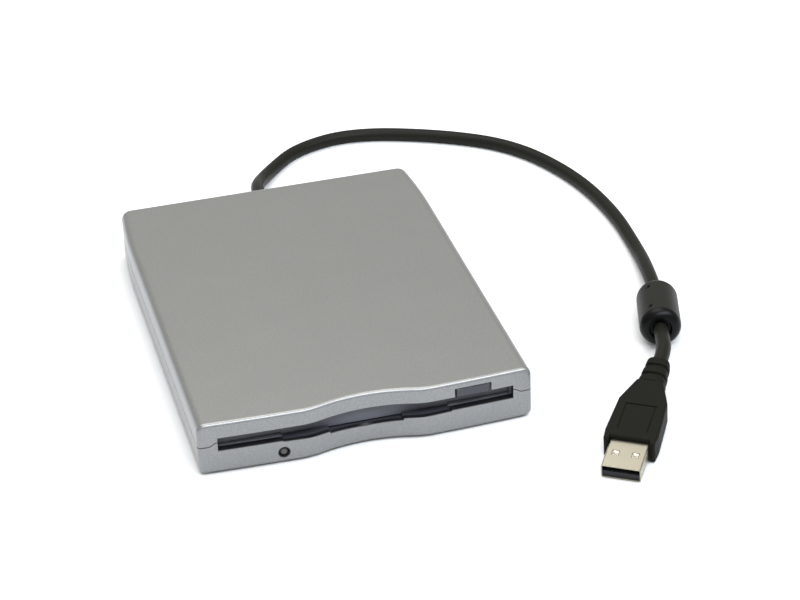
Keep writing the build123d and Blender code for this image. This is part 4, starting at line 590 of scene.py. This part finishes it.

# %% [markdown]
# ## Painted shade in the slot
# The covers are painted silver. Inside the disk slot their faces are made near black, as painted
# shade, and lose the paint's metal and coat. Splitting the mesh there would do too, but a mask
# made of the same circles as the front leaves the mesh alone. The shade starts a little behind
# the waved front, whose line is made of two circles, and of these the one further back counts.

# %% Mask of the slot
bow_radius, bow_centre = 902.08 * mm, 830.85 * mm
hollow_radius, hollow_centre = 50.0 * mm, -118.03 * mm
slot_half_width, slot_depth = 46.4 * mm, 8.0 * mm
slot_low, slot_high = 6.4 * mm, 12.8 * mm
# Where the painted shade in the slot begins behind the front, and how softly its edges fade.
slot_shade_start, slot_shade_fade = 0.28 * mm, 0.2 * mm


def behind_front(x, y):
    """Distance behind the front line.

    The front line is the larger of bow centre - (R^2 - x^2)^0.5 and
    hollow centre + (r^2 - x^2)^0.5.
    """
    bow = bow_centre - (bow_radius**2 - x * x).root()
    hollow = (hollow_radius**2 - x * x).atleast(0).root() + hollow_centre
    return y - bow.atleast(hollow)


# Mask of the painted shade inside the slot.
def inside_slot(paint):
    """1 on faces in the slot: behind the front line, between the slot's bottom, top and ends."""
    x, y, z = paint.split(paint.place)
    depth = behind_front(x, y)
    behind = depth.above(slot_shade_start, slot_shade_fade) * (1 - depth.above(slot_depth, slot_shade_fade))
    over = z.above(slot_low, slot_shade_fade)
    under = 1 - z.above(slot_high, slot_shade_fade)
    between = 1 - x.size().above(slot_half_width, slot_shade_fade)
    return behind * over * under * between


print("slot in mm:", round(2 * slot_half_width / mm, 1), "wide")

# %% [markdown]
# ## Silver paint
# A silver paint has metal flakes that lie at slightly different tilts, so from close by the grey
# is finely mottled. One small noise stands for the flakes, a larger one for the way a sprayed
# coat clouds, and a thin clear coat on top gives the bright line along each rounded edge. On the
# upright faces the grey is a little cooler, as a painted reflection of cool light. Flakes modelled
# one by one would be far too many, and a noise pattern has no seams.

# %% Silver paint
flake_size, cloud_size, flake_height = 0.45 * mm, 14 * mm, 0.005 * mm
flake_metal = 0.72


def painted(name, tone, mottle=0.09, coat=0.35, slot_shade_tone=None, upright=None):
    """Metal-flake paint: tone times 1 plus or minus mottle, from flake noise and a faint cloud.

    Upright faces, whose normal has an upward part near 0, take their own factor on the tone, as a
    painted cool reflection. Faces inside the slot take the given dark tone, as painted shade.
    """
    paint = Finish(name, metallic=flake_metal, coat_weight=coat, coat_roughness=0.2)
    flakes = paint.noise(flake_size, rough=0.65)
    clouds = paint.noise(cloud_size)
    share = (flakes * 0.92 + clouds * 0.08).above(0.36, 0.28)
    dark, light = shaded(tone, 1 - mottle), shaded(tone, 1 + mottle)
    colour = paint.blend(share, dark, light)
    # Painted reflection: upright faces get a cooler tone than the faces that lie flat.
    if upright:
        normal = paint.node("ShaderNodeNewGeometry", output="Normal")
        upward = paint.split(normal)[2]
        lying = (upward * upward).above(0.3, 0.4)
        painted_cool_reflection = [tuple(a * b for a, b in zip(shade, upright)) for shade in (dark, light)]
        colour = paint.blend(lying, paint.blend(share, *painted_cool_reflection), colour)
    # Painted shade: faces inside the slot turn near black and lose the paint's metal and coat.
    if slot_shade_tone:
        painted_slot_shade = inside_slot(paint)
        colour = paint.blend(painted_slot_shade, colour, slot_shade_tone)
        paint.set(metallic=(1 - painted_slot_shade) * flake_metal, coat_weight=(1 - painted_slot_shade) * coat)
    paint.set(
        base_color=colour, roughness=flakes * 0.12 + 0.33, normal=paint.bump(flakes, flake_height),
    )
    return paint.material


# The near-black tone is painted shade inside the slot.
# The upright factor is a painted cool reflection on the covers' upright faces.
silver = painted(
    "silver_cover_paint", (0.236, 0.235, 0.224),
    slot_shade_tone=(0.006, 0.006, 0.007), upright=(0.965, 0.99, 1.06),
)
button_silver = painted("silver_button_paint", (0.052, 0.055, 0.064), mottle=0.06, coat=0.2)
print("paints made:", silver.name, "and", button_silver.name)

# %% [markdown]
# ## Moulded plastics and rubber
# A moulded part copies the skin of its steel mould. A spark-eroded mould leaves a fine even
# grain, which scatters the gloss. So each plastic gets a grain in its bump, a little more
# roughness where the grain is high, and a slight drift of colour. One function makes them all,
# because they differ only in tone, grain and gloss.

# %% Plastics
drift_size = 6 * mm


def moulded(
    name, tone, grain_mm=0.25, depth_mm=0.01, rough=0.5, drift=0.08, ends=None, **plain,
):
    """Plastic with a fine even grain: grain_mm wide and depth_mm deep.

    Ends is a function of the finish that gives a share and the tone for that share.
    """
    plastic = Finish(name, **plain)
    grain = plastic.noise(grain_mm * mm, rough=0.6)
    cloud = plastic.noise(drift_size)
    colour = plastic.blend(cloud, shaded(tone, 1 - drift), shaded(tone, 1 + drift))
    # The ends carry painted light and shade for the slot's plastics.
    if ends:
        share, end_tone = ends(plastic)
        colour = plastic.blend(share, colour, end_tone)
    plastic.set(
        base_color=colour, roughness=grain * 0.14 + (rough - 0.07),
        normal=plastic.bump(grain, depth_mm * mm),
    )
    return plastic.material


black_plastic = moulded("black_plastic", (0.010, 0.010, 0.012), specular=0.3)
ring_plastic = moulded("lamp_ring_plastic", (0.012, 0.012, 0.014), rough=0.4, specular=0.3)
plug_plastic = moulded(
    "plug_overmould", (0.0060, 0.0060, 0.0040),
    grain_mm=0.35, depth_mm=0.02, rough=0.6, specular=0.08,
)
jacket_vinyl = moulded(
    "cable_jacket_vinyl", (0.0070, 0.0068, 0.0045),
    grain_mm=0.5, depth_mm=0.015, specular=0.14,
)
foot_rubber = moulded(
    "foot_rubber", (0.014, 0.014, 0.014), grain_mm=0.4, depth_mm=0.03, rough=0.72,
)
gland_rubber = moulded(
    "gland_rubber", (0.012, 0.012, 0.011), grain_mm=0.4, depth_mm=0.02, rough=0.6,
)
white_nylon = moulded(
    "white_nylon", (0.66, 0.64, 0.56), rough=0.45, drift=0.04, subsurface_weight=0.05,
)
filled_plastic = moulded(
    "glass_filled_plastic", (0.024, 0.024, 0.027), grain_mm=0.15, rough=0.4,
)
print("plastics made")

# %% [markdown]
# ## Flap and sill
# The flap and the sill below it are the same dark blue-grey plastic. Towards the ends of the slot
# the flap is a little paler, as painted light against the shade under the lip, and the sill is
# black in front, as a painted shadow line, and pale behind, as painted light where the lip
# shades it. Both changes follow the slot, so they are masks by the distance from its middle and
# behind its front.

# %% Plastics of the slot
flap_change, flap_fade = 14 * mm, 12 * mm
sill_change, sill_fade = 25.5 * mm, 1.0 * mm
sill_front, sill_front_fade = 2.85 * mm, 0.25 * mm


def flap_painted_light(plastic):
    """Paler tone, painted light against the lip's shade, by the distance from the slot's middle."""
    x = plastic.split(plastic.place)[0]
    # The paler tone is painted light against the shade under the lip.
    return x.size().above(flap_change, flap_fade), (0.135, 0.142, 0.162)


def sill_painted_shade_and_light(plastic):
    """Black in front, a painted shadow, and pale behind, painted light, past the slot's steps."""
    x, y = plastic.split(plastic.place)[:2]
    behind = behind_front(x, y).above(sill_front, sill_front_fade)
    # Painted shade and light: black in front as a shadow line, paler behind where the lip shades
    # the sill.
    tone = plastic.blend(behind, (0.004, 0.004, 0.005), (0.20, 0.21, 0.24))
    return x.size().above(sill_change, sill_fade), tone


flap_plastic = moulded(
    "dark_flap_plastic", (0.086, 0.091, 0.108), rough=0.42, specular=0.3, ends=flap_painted_light,
)
sill_plastic = moulded(
    "slot_sill_plastic", (0.036, 0.038, 0.048), grain_mm=0.3, specular=0.3, ends=sill_painted_shade_and_light,
)
print("plastics of the slot made")

# %% [markdown]
# ## The bead's overmould
# The bead isn't the same all over. Its barrel is etched matt while its cap towards the plug is
# smooth, and blacker as painted shade, and its two dents are painted black as shade. So its
# finish reads the UV map, which says how far along and how far round the bead a point lies.

# %% Bead
cap_overlap, cap_fade = 0.3, 0.9
dent_shade_share, dent_shade_fade = 0.95, 0.15


def bead_finish():
    """Sleeve, cap and dents told apart by the distance along, and by that from each dent."""
    bead = Finish("bead_overmould", specular=0.14)
    along, turned = bead.split(bead.node("ShaderNodeUVMap", {"uv_map": "along"}))[:2]
    cap = along.above((bead_half - bead_near_round - cap_overlap) * mm, cap_fade * mm)
    grain = bead.noise(0.4 * mm, rough=0.6)
    # The cap's blacker tone is painted shade.
    sleeve = bead.blend(cap, (0.0105, 0.0107, 0.0075), (0.0012, 0.0012, 0.0016))
    for place in dents_along:
        ahead = along - place * mm
        aside = turned * (tau * bead_radius * mm) - dent_angle * bead_radius * mm
        away = (ahead * ahead + aside * aside).root()
        clear = away.above(dent_radius * dent_shade_share * mm, dent_shade_fade * mm)
        # Painted shade: the dents are near black.
        sleeve = bead.blend(clear, (0.0004, 0.0004, 0.0005), sleeve)
    bead.set(
        base_color=sleeve, roughness=grain * 0.12 + 0.40 - cap * 0.12,
        normal=bead.bump(grain * (1 - cap), 0.008 * mm),
    )
    return bead.material


bead_vinyl = bead_finish()
print("bead's finish made")

# %% [markdown]
# ## The lamp
# The activity lamp is a clouded rod, which is dark while it is off: darkest at its rim and paler
# in the middle, where light comes back out of it. The distance from its axis gives the change.

# %% Lamp
lamp_x, lamp_z, lamp_radius = -26.2 * mm, 4.3 * mm, 1.5 * mm
rim_start, rim_fade = 0.25 * lamp_radius, 0.65 * lamp_radius


def lamp_finish():
    """Paler towards the middle, by the distance (x^2 + z^2)^0.5 from the lamp's axis."""
    lens = Finish("lamp_lens", transmission_weight=0.15, specular=0.3)
    x, y, z = lens.split(lens.place)
    x, z = x - lamp_x, z - lamp_z
    rim = (x * x + z * z).root().above(rim_start, rim_fade)
    specks = lens.noise(0.3 * mm, detail=3.0)
    lens.set(
        base_color=lens.blend(rim, (0.085, 0.088, 0.086), (0.018, 0.019, 0.019)),
        roughness=specks * 0.12 + 0.24, normal=lens.bump(specks, 0.004 * mm),
    )
    return lens.material


lamp_lens = lamp_finish()
print("lamp's finish made")

# %% [markdown]
# ## Coated sheet
# The chassis, the shield and the disk holder are zinc-coated sheet, whose coat shows large
# crystals, each of its own grey. That is what a Voronoi pattern is, so its cells give the colour
# and the roughness.

# %% Sheet metals
def zinc_sheet(name, tone, crystal_mm=2.2):
    """Coated sheet: each Voronoi cell a grey of its own, with faint handling marks."""
    sheet = Finish(name, metallic=1.0)
    cells = sheet.node(
        "ShaderNodeTexVoronoi", {"feature": "F1"}, output=1,
        Vector=sheet.place, Scale=1 / (crystal_mm * mm),
    )
    grey = sheet.node("ShaderNodeSeparateColor", {"mode": "RGB"}, cells)
    marks = sheet.noise(0.6 * mm, detail=4.0, rough=0.7)
    sheet.set(
        base_color=sheet.blend(grey * 0.6 + marks * 0.4, shaded(tone, 0.80), tone),
        roughness=grey * 0.10 + marks * 0.14 + 0.22, normal=sheet.bump(marks, 0.004 * mm),
    )
    return sheet.material


zinc_coat = zinc_sheet("zinc_coated_sheet", (0.56, 0.57, 0.57))
bright_sheet = zinc_sheet("bright_stamped_sheet", (0.62, 0.62, 0.61), crystal_mm=0.8)
print("sheet metals made")

# %% [markdown]
# ## Ground and drawn metals
# Bare metal has no colour of its own away from what it reflects, so its finish is mostly in the
# roughness. Ground, drawn and plated parts carry fine lines along one way, so their noise is
# stretched that way.

# %% Drawn metals
def drawn(name, tone, lines=(1.0, 0.04, 1.0), rough=0.24, line_mm=0.12):
    """Ground or drawn metal: noise stretched along one axis, as fine lines."""
    metal = Finish(name, metallic=1.0)
    streak = metal.noise(line_mm * mm, detail=3.0, place=metal.stretched(*lines))
    metal.set(
        base_color=metal.blend(streak, shaded(tone, 0.82), tone),
        roughness=streak * 0.16 + (rough - 0.08), normal=metal.bump(streak, 0.003 * mm),
    )
    return metal.material


turned_lines = (1.0, 1.0, 0.3)
ground_steel = drawn("ground_steel", (0.62, 0.62, 0.61))
spring_wire = drawn("spring_wire", (0.42, 0.42, 0.42), lines=(0.3, 0.3, 1.0), rough=0.3)
zinc_screw = drawn("zinc_screw", (0.55, 0.56, 0.57), lines=turned_lines, rough=0.3)
black_screw = drawn("black_screw", (0.035, 0.035, 0.037), lines=turned_lines, rough=0.38)
brass = drawn("turned_brass", (0.70, 0.50, 0.20), lines=(1.0, 1.0, 0.1), rough=0.26)
gold_flash = drawn("gold_flash", (0.85, 0.60, 0.22), lines=(1.0, 0.1, 1.0), rough=0.2)
nickel = drawn("nickel_plate", (0.39, 0.36, 0.285), lines=(1.0, 0.15, 1.0), rough=0.34)
# The dimples' nickel is paler than the shell's as a painted highlight on the pressed dishes.
dimple_nickel = drawn("dimple_nickel", (0.62, 0.585, 0.48), lines=(1.0, 1.0, 1.0), rough=0.4)
print("drawn metals made")

# %% [markdown]
# ## Pressed powders
# The magnets and the ferrite ring are pressed from powder and baked, so they are dull and dark
# with tiny pits. A rough noise cut off below a level leaves such pits.

# %% Magnets and ferrite
def sintered(name, tone, rough=0.6):
    """Pressed powder: a dull dark body with tiny pits."""
    body = Finish(name, metallic=0.3)
    pits = body.noise(0.3 * mm, detail=4.0, rough=0.75)
    body.set(
        base_color=body.blend(pits.above(0.35, 0.2), shaded(tone, 0.6), tone),
        roughness=pits * 0.2 + (rough - 0.1), normal=body.bump(pits, 0.02 * mm),
    )
    return body.material


magnet_body = sintered("sintered_magnet", (0.085, 0.085, 0.090))
ferrite_body = sintered("sintered_ferrite", (0.050, 0.050, 0.050), rough=0.5)
print("pressed powders made")

# %% [markdown]
# ## Circuit boards
# A circuit board is glass cloth under a green solder mask, with copper tracks that show through
# as lighter lines. Drawing real tracks would take long and they are hardly seen, so the joints of
# a brick pattern stand for them, and a stretched noise for the cloth.

# %% Boards
def board(name, mask_dark, mask_light):
    """Solder mask with lighter tracks: the joints of a brick pattern, and glass weave below."""
    panel = Finish(name, coat_weight=0.5, coat_roughness=0.15)
    tracks = panel.node(
        "ShaderNodeTexBrick", {"offset": 0.35, "squash": 0.6}, output=1,
        Vector=panel.place, Scale=140.0, Mortar_Size=0.014, Brick_Width=0.9, Row_Height=0.22,
    )
    weave = panel.noise(0.5 * mm, detail=1.0, place=panel.stretched(1.0, 0.5, 1.0))
    panel.set(
        base_color=panel.blend(tracks * 0.7 + weave * 0.15, mask_dark, mask_light),
        roughness=weave * 0.1 + 0.32, normal=panel.bump(tracks, 0.03 * mm),
    )
    return panel.material


green_board = board("green_board", (0.006, 0.055, 0.022), (0.030, 0.150, 0.060))
print("board's finish made")

# %% [markdown]
# ## Coils
# Enamelled wire is copper with a shine of lacquer. Its turns are too fine to model, so a wave
# pattern of rings gives them in colour, roughness and bump.

# %% Coils
ring_scale = 6.28


def wound(name, turn_mm=0.3):
    """Enamelled copper, with ripples about twice turn_mm apart."""
    coil = Finish(name, metallic=0.85, coat_weight=0.6, coat_roughness=0.12)
    rings = coil.node(
        "ShaderNodeTexWave", {"wave_type": "RINGS", "rings_direction": "Z"},
        Vector=coil.place, Scale=1 / (turn_mm * mm) / ring_scale, Distortion=0.4, Detail=1.0,
    )
    coil.set(
        base_color=coil.blend(rings, (0.34, 0.11, 0.035), (0.72, 0.30, 0.12)),
        roughness=rings * 0.08 + 0.28, normal=coil.bump(rings, 0.05 * mm),
    )
    return coil.material


coil_copper = wound("enamelled_copper")
print("coils' finish made")

# %% [markdown]
# ## Chips, ceramics and film
# Epoxy, fired ceramic and polyimide film are fine mixtures of two tones. One function with a
# speck's size and a gloss makes all three.

# %% Small parts
def speckled(name, first, second, speck_mm, rough, **plain):
    """Fine mixture of two tones, as in fired ceramic, epoxy or film."""
    body = Finish(name, **plain)
    specks = body.noise(speck_mm * mm, detail=3.0, rough=0.7)
    body.set(
        base_color=body.blend(specks.above(0.35, 0.3), first, second),
        roughness=specks * 0.12 + (rough - 0.06), normal=body.bump(specks, 0.004 * mm),
    )
    return body.material


chip_epoxy = speckled("chip_epoxy", (0.010, 0.010, 0.011), (0.022, 0.022, 0.023), 0.12, 0.42)
fired_ceramic = speckled("fired_ceramic", (0.36, 0.27, 0.17), (0.50, 0.40, 0.27), 0.2, 0.5)
polyimide = speckled(
    "polyimide_film", (0.28, 0.105, 0.012), (0.36, 0.15, 0.02), 0.8, 0.3, coat_weight=0.4,
)
print("small parts' finishes made")

# %% [markdown]
# ## Every piece gets its finish
# The frame's pieces keep their own meshes, so all they need is a finish in their one material
# slot. The list below says which piece is made of what, so a change of material is a change of
# one word.

# %% Finishes by piece
finish_of = {
    silver: ("top_cover", "bottom_cover"),
    button_silver: ("eject_button",),
    flap_plastic: ("door_flap",),
    sill_plastic: ("front_bezel",),
    black_plastic: ("sensor_switches", "hub_chuck", "plug_tongue"),
    ring_plastic: ("lamp_ring",),
    plug_plastic: ("plug_body", "ringed_tail"),
    jacket_vinyl: ("usb_lead", "cable_inner_end"),
    bead_vinyl: ("bead_sleeve",),
    foot_rubber: ("rubber_feet",),
    gland_rubber: ("cable_gland",),
    white_nylon: (
        "write_protect_plunger", "density_plunger", "disk_in_plunger", "flex_connectors",
        "wire_header", "data_wires",
    ),
    filled_plastic: ("head_carriage", "upper_head_arm"),
    zinc_coat: ("chassis", "shield_plate", "disk_holder", "eject_slider", "stepper_can"),
    bright_sheet: ("shutter_lever", "rotor_yoke"),
    ground_steel: ("guide_rod", "lead_screw", "spindle_shaft", "drive_pin", "thrust_plate"),
    spring_wire: ("door_spring", "eject_springs", "lever_spring", "arm_spring"),
    zinc_screw: ("mechanism_screws", "board_screws"),
    black_screw: ("case_screws",),
    brass: ("spindle_bush",),
    gold_flash: ("plug_contacts",),
    nickel: ("plug_shell",),
    dimple_nickel: tuple(dish.name for dish in dimples),
    magnet_body: ("motor_magnet", "stepper_magnet"),
    ferrite_body: ("ferrite_core",),
    green_board: ("motor_board", "control_board", "usb_board"),
    coil_copper: ("motor_coils",),
    chip_epoxy: ("board_chips",),
    fired_ceramic: ("board_parts", "lower_head", "upper_head"),
    polyimide: ("flat_cables", "head_flex"),
    lamp_lens: ("access_lamp",),
}
for material, names in finish_of.items():
    for name in names:
        slots = bpy.data.objects[name].data.materials
        slots.clear()
        slots.append(material)
finished = {name for names in finish_of.values() for name in names}
replaced = {"usb_cable", "ferrite_bead", "plug_strain_relief"}
print("pieces with no finish:", sorted(set(nodes) - finished - replaced))

# %% [markdown]
# ## Bring the scene up to date
# The dressed model must stay the size of the CAD model. Here the scene is brought up to date once
# more.

# %% Update the scene
bpy.context.view_layer.update()
